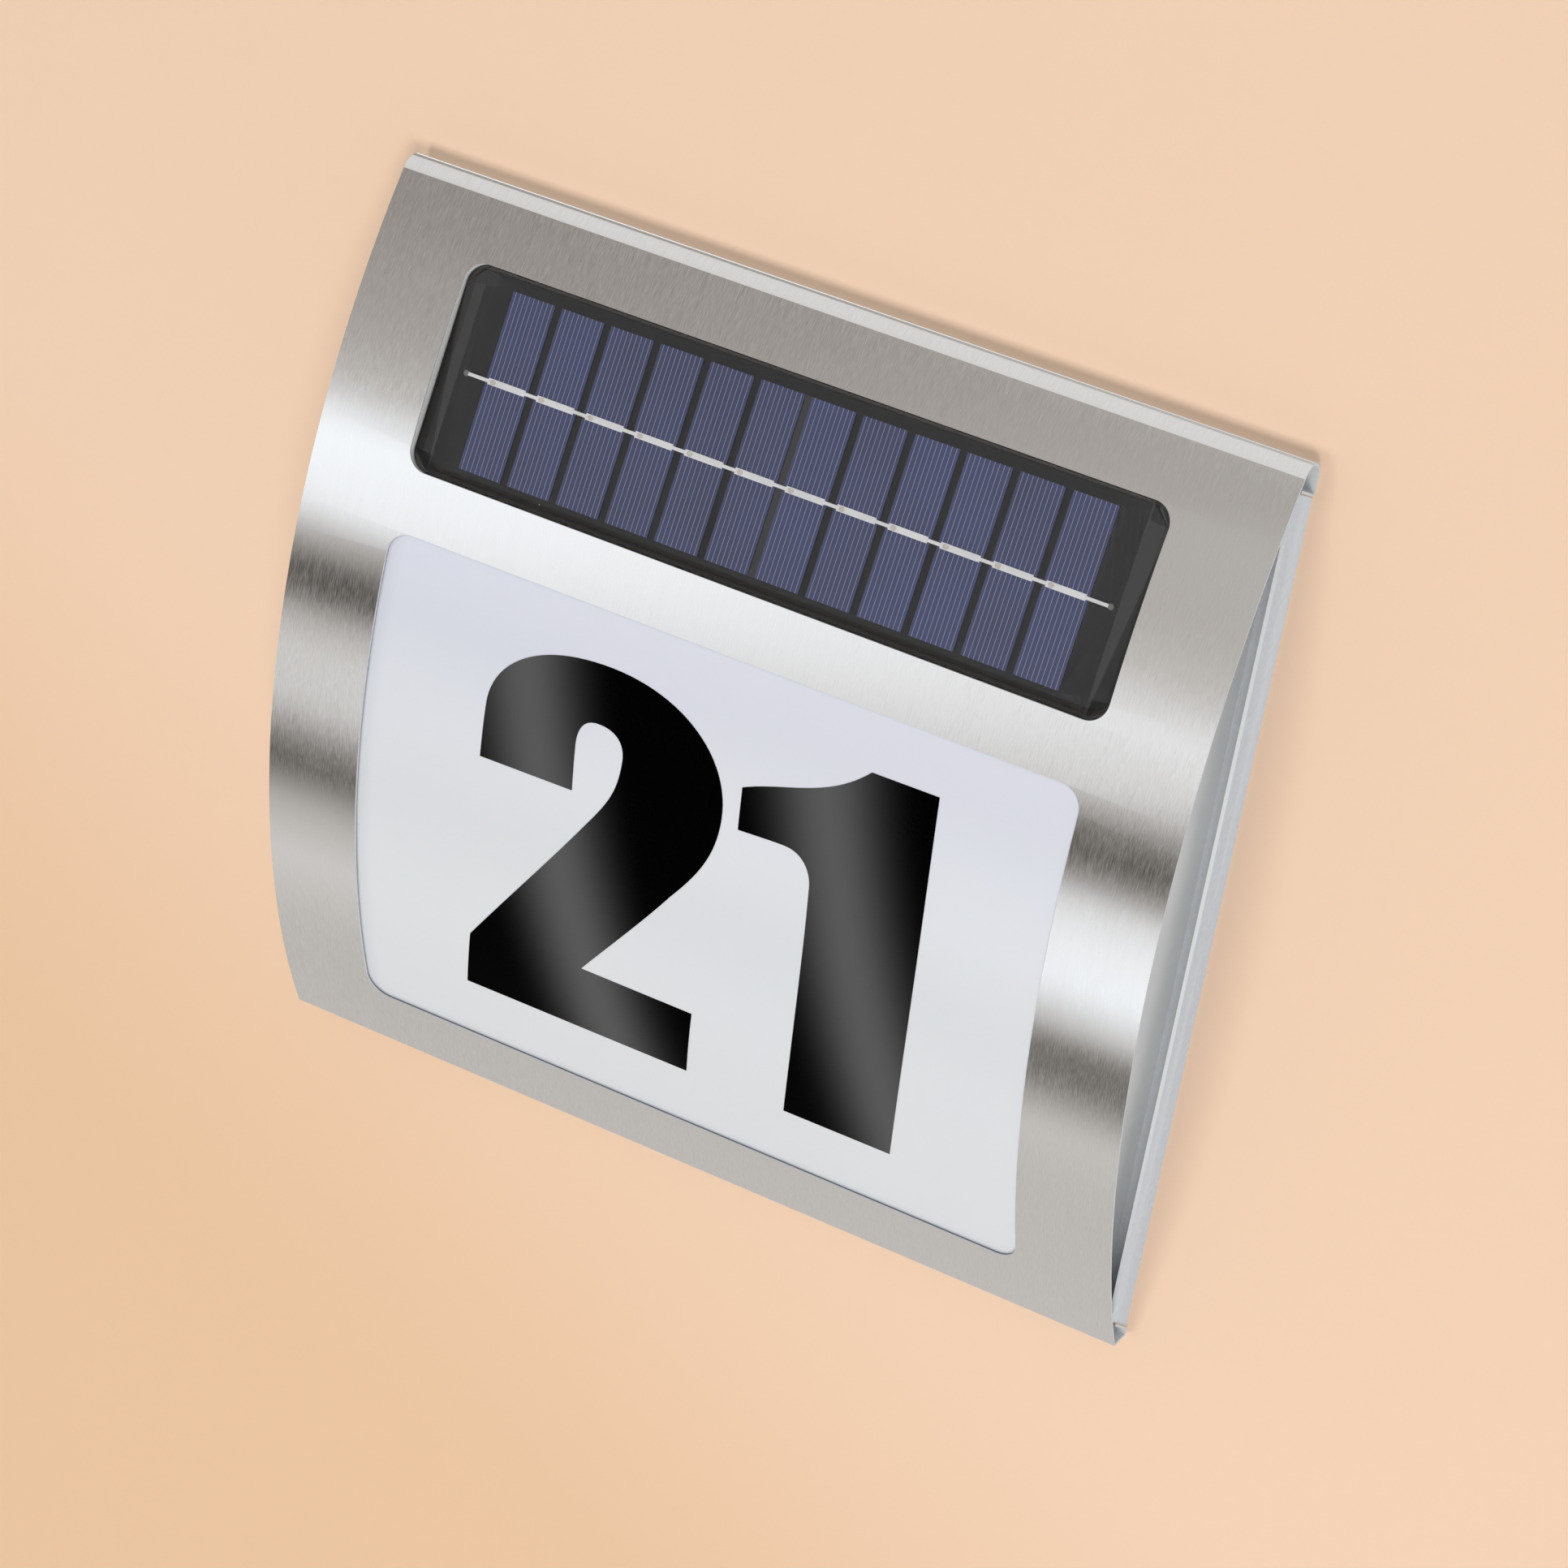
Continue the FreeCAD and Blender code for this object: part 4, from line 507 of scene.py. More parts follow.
silicon, tree, shader, place = start_material("cell_silicon", Roughness=0.35, **RESIN_GLOSS)
steps = calc(tree, "MULTIPLY", split(tree, place)[0], 1.0 / CELL_PITCH)
strip = calc(tree, "FLOOR", steps)
inside = calc(tree, "SUBTRACT", calc(tree, "FRACT", steps), 0.5)
finger = calc(tree, "MULTIPLY_ADD", inside, CELL_PITCH / FINGER_PITCH, 0.5)
off_line = calc(tree, "ABSOLUTE", calc(tree, "SUBTRACT", calc(tree, "FRACT", finger), 0.5))
on_finger = grade(tree, off_line, FINGER_HALF / FINGER_PITCH, 2 * FINGER_HALF / FINGER_PITCH, 1.0, 0.0)
seed = add(tree, "ShaderNodeTexWhiteNoise", {"W": strip}, noise_dimensions="1D").outputs[0]
cloud = use(tree, mottle_group, place, Scale=60.0)["Mottle"]
varied = calc(tree, "MULTIPLY_ADD", cloud, 1.2, calc(tree, "MULTIPLY_ADD", seed, 0.35, 0.3), clamp=True)
blue = blend_colours(tree, varied, *CELL_BLUES)
tree.links.new(blend_colours(tree, on_finger, blue, FINGER_SILVER), shader.inputs["Base Color"])
bump(tree, shader, on_finger, 0.3, 0.00001)

# %% [markdown]
# The board under the cells is glossy black. A narrow border along its rim is painted blacker than
# the rest, a painted shade for the dark gap round the panel that the resin bends the view down
# into. The rim is found on the slope: the distance along it mixes depth and height in the
# proportions of its lean.

# %% Black board of the panel
PANEL_LEAN = math.radians(19.73)
PANEL_HALF_WIDTH = 0.0783
PANEL_HALF_HEIGHT = 0.0216
PANEL_CORNER = 0.0042
RIM_WIDTH = 0.0013
RIM_SHIFT = 0.0005
LOW_RIM = 0.0012
RIM_BLEND = 0.0003
PAINTED_RIM_SHADE = 0.0006
BOARD_BLACKS = ((0.010, 0.011, 0.014, 1.0), (0.014, 0.015, 0.019, 1.0))


def up_the_slope(tree, apart):
    """Distance from the middle of the panel, measured up its slope."""
    from_axis = calc(tree, "SUBTRACT", apart[1], BOW_AXIS[0])
    raised = calc(tree, "MULTIPLY", apart[2], math.cos(PANEL_LEAN))
    return calc(tree, "MULTIPLY_ADD", from_axis, math.sin(PANEL_LEAN), raised)


panel_black, tree, shader, place = start_material("panel_black", Roughness=0.4, **RESIN_GLOSS)
apart = split(tree, place)
slope = calc(tree, "SUBTRACT", up_the_slope(tree, apart), LOW_RIM / 2)
across = calc(tree, "SUBTRACT", apart[0], RIM_SHIFT)
depth = edge_distance(
    tree, across, slope, PANEL_HALF_WIDTH - RIM_WIDTH, PANEL_HALF_HEIGHT - LOW_RIM, PANEL_CORNER - RIM_WIDTH
)
# Painted shade: a narrow border along the rim is made nearly black.
rim = grade(tree, depth, 0.0, RIM_BLEND, 1.0, 0.0)
cloud = use(tree, mottle_group, place, Scale=30.0)["Mottle"]
black = blend_colours(tree, calc(tree, "MULTIPLY_ADD", cloud, 1.5, 0.5, clamp=True), *BOARD_BLACKS)
tree.links.new(blend_colours(tree, rim, black, grey(PAINTED_RIM_SHADE)), shader.inputs["Base Color"])
bump(tree, shader, cloud, 0.05, 0.0001)

# %% [markdown]
# The cells lie under a layer of clear resin. Its gloss is a coat on the board and on the cells
# just below, so the light goes straight through the resin itself. Only where its front rounds off
# at the rim does it mirror the room, weakly, and more towards grazing angles, as the Fresnel node
# says. A few grains of dust lie on it, where a sparse cell pattern picks a spot.

# %% Clear resin
ROUNDING = (0.0003, 0.0005)
RIM_MIRROR = 0.3
DUST_SCALE = 170.0
DUST_PICK = 0.9
DUST_SIZE = 0.018
DUST_COVER = 0.8

resin, tree, shader, place = start_material("clear_resin", Metallic=1.0, Base_Color=grey(0.95))
fresnel = add(tree, "ShaderNodeFresnel", {"IOR": 1.52}).outputs[0]
front = calc(tree, "SUBTRACT", 1.0, add(tree, "ShaderNodeNewGeometry").outputs["Backfacing"])
apart = split(tree, place)
depth = edge_distance(
    tree, apart[0], up_the_slope(tree, apart), PANEL_HALF_WIDTH, PANEL_HALF_HEIGHT, PANEL_CORNER
)
rounding = grade(tree, depth, *ROUNDING, 1.0, 0.0)
mirror = calc(tree, "MULTIPLY", calc(tree, "MULTIPLY", fresnel, front), rounding)
mirror = calc(tree, "MULTIPLY", mirror, RIM_MIRROR)
dust = add(tree, "ShaderNodeTexVoronoi", {"Vector": place, "Scale": DUST_SCALE}).outputs
picked = calc(tree, "GREATER_THAN", split(tree, dust["Color"])[0], DUST_PICK)
grain_of_dust = calc(tree, "MULTIPLY", picked, calc(tree, "LESS_THAN", dust["Distance"], DUST_SIZE))
alpha = calc(tree, "MAXIMUM", mirror, calc(tree, "MULTIPLY", grain_of_dust, DUST_COVER))
tree.links.new(alpha, shader.inputs["Alpha"])
cloud = use(tree, mottle_group, place, Scale=70.0)["Mottle"]
tree.links.new(calc(tree, "MULTIPLY_ADD", cloud, 0.05, 0.06), shader.inputs["Roughness"])
bump(tree, shader, cloud, 0.05, 0.0001)

# %% [markdown]
# ## Circuit board
#
# Green solder mask lies over copper tracks. A pattern of square cells imitates them: the lines
# between the cells stand a hair higher and are a darker green.

# %% Circuit board
TRACK_EDGE = (0.30, 0.34)
MASK_GREENS = ((0.016, 0.15, 0.065, 1.0), (0.010, 0.10, 0.045, 1.0))

board_green, tree, shader, place = start_material("board_green", Roughness=0.35)
cells = add(
    tree,
    "ShaderNodeTexVoronoi",
    {"Vector": place, "Scale": 260.0, "Randomness": 0.6},
    distance="CHEBYCHEV",
)
track = grade(tree, cells.outputs["Distance"], *TRACK_EDGE)
speck = use(tree, grain_group, place, Scale=1800.0)["Grain"]
track = calc(tree, "MULTIPLY_ADD", speck, 0.2, track, clamp=True)
tree.links.new(blend_colours(tree, track, *MASK_GREENS), shader.inputs["Base Color"])
bump(tree, shader, track, 0.3, 0.00003)

# %% [markdown]
# ## Dress the frame's own solids
#
# Every solid that comes with the frame keeps its shape and only changes its material.

# %% Finish of each solid
FINISHES = {
    cover_steel: ["front_cover"],
    plate_steel: ["back_plate"],
    housing_plastic: ["lamp_housing", "battery_door"],
    opal: ["number_window"],
    white_sheet: ["reflector_sheet", "lamp_board"],
    panel_black: ["panel_board"],
    silicon: ["solar_cells"],
    solder_tin: ["cell_ribbon"],
    resin: ["panel_resin"],
    seal_foam: ["panel_seal", "door_seal"],
    cell_sleeve: ["battery"],
    contact_nickel: ["positive_contact", "negative_contact", "battery_spring", "switch_body"],
    screw_steel: ["door_screws", "board_screws", "housing_screws", "cover_screws"],
    board_green: ["control_board"],
    ferrite: ["storage_coil"],
    can_aluminium: ["capacitor"],
    chip_black: ["driver_chip", "diodes"],
    knob_black: ["switch_knob"],
    lamp_resin: ["lamps"],
    red_lead: ["lamp_leads", "panel_leads", "cell_leads"],
}
for finish, names in FINISHES.items():
    for name in names:
        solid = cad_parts[name]
        if not solid.data.materials:
            solid.data.materials.append(finish)
        for place_in_list in range(len(solid.data.materials)):
            solid.data.materials[place_in_list] = finish
plain = set(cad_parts) - {name for names in FINISHES.values() for name in names}
print("solids without a finish:", sorted(plain))


# %% A finished piece
def finished(name, mesh, material, body):
    """Link a piece, give it its finish and let it ride on a body of the frame."""
    mesh.materials.clear()
    mesh.materials.append(material)
    piece = bpy.data.objects.new(name, mesh)
    bpy.context.scene.collection.objects.link(piece)
    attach(piece, body)
    print(name, "has", len(mesh.polygons), "faces")


def round_edges(shape, edges, offset, segments):
    """Bevel some edges of a shape round."""
    bmesh.ops.bevel(
        shape, geom=edges, offset=offset, segments=segments, profile=0.5, affect="EDGES", material=-1
    )


def finished_shape(name, shape, material, body):
    """Turn a worked shape into a mesh and finish it as a piece."""
    mesh = bpy.data.meshes.new(name)
    shape.to_mesh(mesh)
    shape.free()
    finished(name, mesh, material, body)


# %% [markdown]
# ## The number
#
# House numbers on such a sign are cut from film and stuck on the window, so they follow its bow.
# Each figure is drawn flat as a closed curve, because curves give smooth outlines from few
# points. The curve becomes a mesh, is cut into narrow strips so that it can bend, and then every
# point moves back onto the window's surface. Last, the film gets its thickness. The upright sides
# are cut slightly curved, so that on the bowed window they look straight from the camera.

# %% Outlines of the figures
# Each point is its x and z and the offsets of its two handles, in millimetres. A point without
# handles is a corner.
TWO = [
    ((-50.2, -10.1), None),
    ((-50.4, 2.0), ((0.0, -5.0), (0.0, 9.8))),
    ((-24.0, 19.1), ((-17.0, 0.0), (16.5, 0.0))),
    ((5.5, -3.4), ((0.0, 13.6), (0.0, -8.5))),
    ((-3.6, -25.0), ((5.4, 7.2), (-5.8, -8.6))),
    ((-23.5, -51.9), None),
    ((2.9, -51.9), None),
    ((1.4, -68.3), None),
    ((-52.1, -68.5), None),
    ((-50.6, -54.7), None),
    ((-25.2, -17.5), ((-7.4, -11.5), (4.6, 7.2))),
    ((-18.1, 0.6), ((0.0, -7.6), (0.0, 4.2))),
    ((-24.4, 6.7), ((3.7, 0.0), (-3.4, 0.0))),
    ((-29.1, 0.8), ((0.0, 3.8), (0.2, -3.4))),
    ((-28.4, -9.7), None),
]
ONE = [
    ((8.8, 5.2), None),
    ((35.1, 18.2), ((-8.0, -8.6), None)),
    ((50.0, 18.4), (None, (1.2, -13.1))),
    ((51.9, -21.0), ((0.0, 13.1), (0.0, -15.6))),
    ((49.3, -67.9), ((1.7, 15.6), None)),
    ((24.5, -68.1), (None, (1.7, 14.4))),
    ((27.1, -25.0), ((0.0, -14.4), (0.0, 5.0))),
    ((26.6, -10.0), ((0.3, -4.8), (-0.4, 3.6))),
    ((20.0, -3.5), ((3.8, 0.0), (-3.0, 0.0))),
    ((9.4, -4.0), None),
]
WINDOW_RADIUS = 0.1894
FILM_THICKNESS = 0.00012
STRIP = 0.002
CURVE_STEPS = 24


# %% Make the figures
def make_figure(name, outline):
    """One figure of film on the window, from its flat outline."""
    curve = bpy.data.curves.new(name, "CURVE")
    curve.dimensions = "2D"
    curve.fill_mode = "BOTH"
    curve.resolution_u = CURVE_STEPS
    spline = curve.splines.new("BEZIER")
    spline.bezier_points.add(len(outline) - 1)
    spline.use_cyclic_u = True
    for point, (where, handles) in zip(spline.bezier_points, outline):
        spot = Vector((*where, 0)) * MM
        left, right = handles or (None, None)
        point.handle_left_type = "FREE" if left else "VECTOR"
        point.handle_right_type = "FREE" if right else "VECTOR"
        point.co = spot
        point.handle_left = spot + Vector((*(left or (0, 0)), 0)) * MM
        point.handle_right = spot + Vector((*(right or (0, 0)), 0)) * MM
    flat_object = bpy.data.objects.new(name + "_flat", curve)
    bpy.context.scene.collection.objects.link(flat_object)
    bpy.context.view_layer.update()
    mesh = bpy.data.meshes.new_from_object(flat_object)
    bpy.data.objects.remove(flat_object)
    film_mesh = bmesh.new()
    film_mesh.from_mesh(mesh)
    bmesh.ops.remove_doubles(film_mesh, verts=film_mesh.verts, dist=0.000001)
    lowest = min(vertex.co.y for vertex in film_mesh.verts)
    highest = max(vertex.co.y for vertex in film_mesh.verts)
    for step in range(1, int((highest - lowest) / STRIP) + 1):
        everything = film_mesh.verts[:] + film_mesh.edges[:] + film_mesh.faces[:]
        level = (0, lowest + step * STRIP, 0)
        bmesh.ops.bisect_plane(film_mesh, geom=everything, plane_co=level, plane_no=(0, 1, 0))
    for vertex in film_mesh.verts:
        x, z = vertex.co.x, vertex.co.y
        vertex.co = (x, BOW_AXIS[0] - math.sqrt(WINDOW_RADIUS**2 - z**2), z)
    bmesh.ops.recalc_face_normals(film_mesh, faces=film_mesh.faces)
    if sum(face.normal.y * face.calc_area() for face in film_mesh.faces) > 0:
        bmesh.ops.reverse_faces(film_mesh, faces=film_mesh.faces)
    bmesh.ops.solidify(film_mesh, geom=film_mesh.faces[:], thickness=-FILM_THICKNESS)
    bmesh.ops.recalc_face_normals(film_mesh, faces=film_mesh.faces)
    film_mesh.to_mesh(mesh)
    film_mesh.free()
    finished(name, mesh, film, "base")


make_figure("figure_two", TWO)
make_figure("figure_one", ONE)

# %% [markdown]
# ## Solder and resin spots on the panel
#
# A blob of solder holds the ribbon at the left end of each of its twelve pads, and at both ends
# the ribbon dips through a hole that is filled with grey resin. They are low discs, so each is a
# cone whose upper rim is bevelled round. They are drawn in the panel's own directions, along it,
# up its slope and out of it, and one matrix then turns them all into place.

# %% Spots on the panel
PANEL_FRAME = Matrix((
    (1.0, 0.0, 0.0, 0.0),
    (0.0, math.sin(PANEL_LEAN), -math.cos(PANEL_LEAN), BOW_AXIS[0]),
    (0.0, math.cos(PANEL_LEAN), math.sin(PANEL_LEAN), BOW_AXIS[1]),
    (0.0, 0.0, 0.0, 1.0),
))
CELLS = 12
PAD_LENGTH = 0.0086
RIBBON_TOP = 0.188335
RIBBON_END = 0.0722
SPOT_RADIUS = 0.0007
SPOT_TAPER = 0.85
SPOT_ROUNDING = 0.2
SOLDER_INSET = 0.0011
SOLDER_RISE = 0.00014
SOLDER_DEPTH = 0.0002
SOLDER_SQUEEZE = 0.8
HOLE_DEPTH = 0.0004


def make_spots(name, places, squeeze, top, depth, material):
    """Low round discs on the panel, one at each place along it."""
    spots = bmesh.new()
    oval = Matrix.Diagonal((1.0, squeeze, 1.0, 1.0))
    for along in places:
        bmesh.ops.create_cone(
            spots,
            cap_ends=True,
            segments=20,
            radius1=SPOT_RADIUS,
            radius2=SPOT_TAPER * SPOT_RADIUS,
            depth=depth,
            matrix=Matrix.Translation((along, 0.0, top - depth / 2)) @ oval,
        )
    rims = [edge for edge in spots.edges if all(abs(vertex.co.z - top) < 1e-6 for vertex in edge.verts)]
    round_edges(spots, rims, SPOT_ROUNDING * SPOT_RADIUS, 3)
    bmesh.ops.transform(spots, matrix=PANEL_FRAME, verts=spots.verts)
    finished_shape(name, spots, material, "base")


flux_solder = plated("flux_solder", (0.72, 0.68, 0.65), 0.45)
potting_grey = moulded("potting_grey", (0.13, 0.13, 0.125), 0.4, grain=2500.0)
to_joint = SOLDER_INSET - PAD_LENGTH / 2
joints = [(number - (CELLS - 1) / 2) * CELL_PITCH + to_joint for number in range(CELLS)]
solder_top = RIBBON_TOP + SOLDER_RISE
make_spots("solder_joints", joints, SOLDER_SQUEEZE, solder_top, SOLDER_DEPTH, flux_solder)
holes = [-RIBBON_END, RIBBON_END]
make_spots("ribbon_holes", holes, 1.0, RIBBON_TOP, HOLE_DEPTH, potting_grey)

# %% [markdown]
# ## Crosses in the screws
#
# Every screw on the back has a cross for the screwdriver. A cross is a grid of nine squares that
# loses its corners and is extruded by a hair. Its dark, dull metal is painted shade, which gives
# it the look of a pit in the bright head.

# %% Screw crosses
CROSS_RISE = 0.00004
CROSS_TURN = math.radians(30)
CORNER_REACH = 1.2
DOOR_HEAD, DOOR_ARM = 0.00239, 0.0011
HOUSING_HEAD, HOUSING_ARM = 0.0028, 0.0013

# Painted shade: the raised crosses are dark, standing in for the shadow inside a real pit.
painted_recess_shade = plated("painted_recess_shade", (0.09, 0.09, 0.09), 0.6)


def make_crosses(name, places, face, arm, body):
    """Crosses that look back from the heads of the screws, each given by its x and z."""
    crosses = bmesh.new()
    turn = Matrix.Rotation(math.radians(-90), 4, "X") @ Matrix.Rotation(CROSS_TURN, 4, "Z")
    for x, z in places:
        middle = Vector((x, face, z))
        upright = Matrix.Translation(middle) @ turn
        grid = bmesh.ops.create_grid(crosses, x_segments=3, y_segments=3, size=arm, matrix=upright)
        corners = [vertex for vertex in grid["verts"] if (vertex.co - middle).length > CORNER_REACH * arm]
        bmesh.ops.delete(crosses, geom=corners, context="VERTS")
    walls = bmesh.ops.extrude_face_region(crosses, geom=crosses.faces[:])["geom"]
    raised = [item for item in walls if isinstance(item, bmesh.types.BMVert)]
    bmesh.ops.translate(crosses, verts=raised, vec=(0.0, CROSS_RISE, 0.0))
    bmesh.ops.recalc_face_normals(crosses, faces=crosses.faces)
    finished_shape(name, crosses, painted_recess_shade, body)


def head_places(node, inset):
    """The x and z of the screws in the corners or at the ends of a node's box, and its back."""
    low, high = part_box(node)
    across = [low[0] + inset, high[0] - inset]
    heights = [low[2] + inset, high[2] - inset]
    if heights[1] - heights[0] < inset:
        heights = [(low[2] + high[2]) / 2]
    return [(x, z) for x in across for z in heights], high[1]


places, face = head_places("door_screws", DOOR_HEAD)
make_crosses("door_screw_crosses", places, face, DOOR_ARM, "door")
places, face = head_places("housing_screws", HOUSING_HEAD)
make_crosses("housing_screw_crosses", places, face, HOUSING_ARM, "base")

# %% [markdown]
# ## Grips of the switch and the battery door
#
# A fingertip moves the switch and lifts the door, so both have small ribs. A rib is a bar with
# rounded edges, and a row of them lies in the middle of the face that looks back.

# %% Grips
RIB_ROUNDING = 0.00006
# Width, rise and length of one rib.
KNOB_RIB = (0.00035, 0.0002, 0.0014)
DOOR_RIB = (0.0007, 0.00015, 0.0075)
KNOB_RIB_PITCH = 0.0009
DOOR_RIB_PITCH = 0.0018


def make_ribs(name, node, count, pitch, rib, material, body):
    """A row of upright ribs on the back of a node, spread to both sides of its middle."""
    low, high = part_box(node)
    middle, height = (low[0] + high[0]) / 2, (low[2] + high[2]) / 2
    width, rise, length = rib
    size = Matrix.Diagonal((width, 2 * rise, length, 1.0))
    ribs = bmesh.new()
    for number in range(count):
        where = (middle + (number - (count - 1) / 2) * pitch, high[1], height)
        bmesh.ops.create_cube(ribs, size=1.0, matrix=Matrix.Translation(where) @ size)
    round_edges(ribs, ribs.edges[:], RIB_ROUNDING, 2)
    finished_shape(name, ribs, material, body)


make_ribs("knob_ribs", "switch_knob", 3, KNOB_RIB_PITCH, KNOB_RIB, knob_black, "switch")
make_ribs(
    "door_ribs", "battery_door", 9, DOOR_RIB_PITCH, DOOR_RIB, housing_plastic, "door"
)

# %% [markdown]
# ## Windings of the coil
#
# The storage coil is a bobbin of ferrite with copper wire wound in its waist. Each turn of wire is
# a small circle spun once round the bobbin's axis, and the turns lie side by side in two layers.

# %% Coil windings
WIRE_RADIUS = 0.00017
COIL_WAIST = 0.0024
LAYER_TURNS = (6, 5)
LAYER_RISE = 1.8 * WIRE_RADIUS

low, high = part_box("storage_coil")
coil_x, coil_y, coil_z = ((start + end) / 2 for start, end in zip(low, high))
turns = bmesh.new()
for layer, count in enumerate(LAYER_TURNS):
    for number in range(count):
        offset = (number - (count - 1) / 2) * 2 * WIRE_RADIUS
        reach = COIL_WAIST + WIRE_RADIUS + LAYER_RISE * layer
        where = Matrix.Translation((coil_x + reach, coil_y + offset, coil_z))
        ring = bmesh.ops.create_circle(turns, segments=8, radius=WIRE_RADIUS, matrix=where)["verts"]
        bmesh.ops.spin(
            turns,
            geom=list(dict.fromkeys(edge for vertex in ring for edge in vertex.link_edges)),
            cent=(coil_x, 0, coil_z),
            axis=(0, 1, 0),
            angle=2 * math.pi,
            steps=32,
            use_merge=True,
        )
bmesh.ops.remove_doubles(turns, verts=turns.verts, dist=1e-6)
bmesh.ops.recalc_face_normals(turns, faces=turns.faces)
for face in turns.faces:
    face.smooth = True
finished_shape("coil_windings", turns, copper_wire, "base")

# %% [markdown]
# ## Legs of the driver chip
#
# The chip stands on four bent legs along each long side. A leg starts as a short edge at the
# chip's side, which is extruded out, down and out again, and the bent strip then gets a thickness.

# %% Chip legs
LEGS = 4
LEG_WIDTH = 0.0004
LEG_PITCH = 0.00125
LEG_THICKNESS = 0.0001
LEG_DROP = 0.0009
LEG_STEPS = ((0.0005, 0.0), (0.0002, 0.0008), (0.0005, 0.0))

low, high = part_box("driver_chip")
legs = bmesh.new()
for side, edge_height in ((-1, low[2]), (1, high[2])):
    for number in range(LEGS):
        x = (low[0] + high[0]) / 2 + (number - (LEGS - 1) / 2) * LEG_PITCH
        ends = [(x + half * LEG_WIDTH / 2, high[1] - LEG_DROP, edge_height) for half in (-1, 1)]
        edge = legs.edges.new([legs.verts.new(end) for end in ends])
        for out, down in LEG_STEPS:
            moved = bmesh.ops.extrude_edge_only(legs, edges=[edge])["geom"]
            edge = next(item for item in moved if isinstance(item, bmesh.types.BMEdge))
            bmesh.ops.translate(legs, verts=list(edge.verts), vec=(0.0, down, side * out))
bmesh.ops.recalc_face_normals(legs, faces=legs.faces)
bmesh.ops.solidify(legs, geom=legs.faces[:], thickness=LEG_THICKNESS)
bmesh.ops.recalc_face_normals(legs, faces=legs.faces)
finished_shape("chip_legs", legs, solder_tin, "base")

# %% [markdown]
# ## Wall, floor and light
#
# The sign hangs on a warm pale wall, above a pale floor. The wall is a single sheet that can be
# seen only from the front, and light passes it, so that a view from behind shows the sign's back.
# A broad soft lamp stands in front, low and a little to the left. A second one stands low on the
# right, and a third one behind and above for the back. The steel needs a room to mirror: the
# world has soft light and dark bands at different heights, which only mirror rays see. All other
# rays find an even grey.

# %% Wall and floor
WALL_SIZE = 6.0
WALL_GAP = 0.0008
FLOOR_DROP = -1.6
WALL_COLOUR = (0.86, 0.62, 0.45)
LOW_WALL_COLOUR = (0.80, 0.54, 0.35)
FLOOR_COLOUR = (0.78, 0.77, 0.75)
# Between these heights the wall turns from its lower colour, darker and more orange, to its upper
# one. The heights fall to the right by the slant.
COLOUR_CHANGE = (-0.24, -0.06)
COLOUR_SLANT = 0.5
PAINT_UNEVENNESS = 0.045


def make_backdrop(name, corners, colour, low_colour, one_sided):
    """A painted sheet behind or below the sign. A one-sided sheet can't be seen from its back."""
    mesh = bpy.data.meshes.new(name)
    sheet = bmesh.new()
    sheet.faces.new([sheet.verts.new(corner) for corner in corners])
    sheet.to_mesh(mesh)
    sheet.free()
    material, tree, shader, place = start_material(name, Roughness=0.9, Specular_IOR_Level=0.1)
    cloud = use(tree, mottle_group, place, Scale=1.5)["Mottle"]
    fine = use(tree, mottle_group, place, Scale=30.0)["Mottle"]
    share = calc(tree, "ADD", calc(tree, "MULTIPLY_ADD", cloud, 0.8, 0.5), calc(tree, "MULTIPLY", fine, 0.25))
    apart = split(tree, place)
    rise = grade(tree, calc(tree, "MULTIPLY_ADD", apart[0], COLOUR_SLANT, apart[2]), *COLOUR_CHANGE)
    paint = blend_colours(tree, rise, opaque(low_colour), opaque(colour))
    darker = blend_colours(tree, PAINT_UNEVENNESS, paint, grey(0.0))
    tree.links.new(blend_colours(tree, share, darker, paint), shader.inputs["Base Color"])
    if one_sided:
        behind = add(tree, "ShaderNodeNewGeometry").outputs["Backfacing"]
        seen = add(tree, "ShaderNodeMixShader", {0: behind})
        clear = add(tree, "ShaderNodeBsdfTransparent")
        tree.links.new(shader.outputs[0], seen.inputs[1])
        tree.links.new(clear.outputs[0], seen.inputs[2])
        output = next(node for node in tree.nodes if node.type == "OUTPUT_MATERIAL")
        tree.links.new(seen.outputs[0], output.inputs["Surface"])
    mesh.materials.append(material)
    backdrop = bpy.data.objects.new(name, mesh)
    bpy.context.scene.collection.objects.link(backdrop)
    return backdrop


half = WALL_SIZE / 2
wall_places = ((-half, FLOOR_DROP), (half, FLOOR_DROP), (half, half), (-half, half))
wall_corners = [(x, WALL_GAP, z) for x, z in wall_places]
wall = make_backdrop("wall", wall_corners, WALL_COLOUR, LOW_WALL_COLOUR, True)
floor_corners = [(x, y, FLOOR_DROP) for x, y in ((-half, -half), (half, -half), (half, half), (-half, half))]
floor = make_backdrop("floor", floor_corners, FLOOR_COLOUR, FLOOR_COLOUR, False)
for backdrop in (wall, floor):
    backdrop.visible_glossy = False
# Light passes the wall, so that the sign's back is lit as well. The sign's shadow still falls on it.
wall.visible_diffuse = False
wall.visible_shadow = False

# %% Lamps and world
KEY_PLACE = Vector((-0.3, -2.5, -0.35))
KEY_SIZE = 0.8
KEY_POWER = 16.5
SIDE_PLACE = Vector((1.1, -2.4, -0.2))
SIDE_SIZE = 0.9
SIDE_POWER = 23.0
BACK_PLACE = Vector((-0.7, 2.5, 1.2))
BACK_SIZE = 2.0
BACK_POWER = 34.0
FILL_LEVEL = 0.50
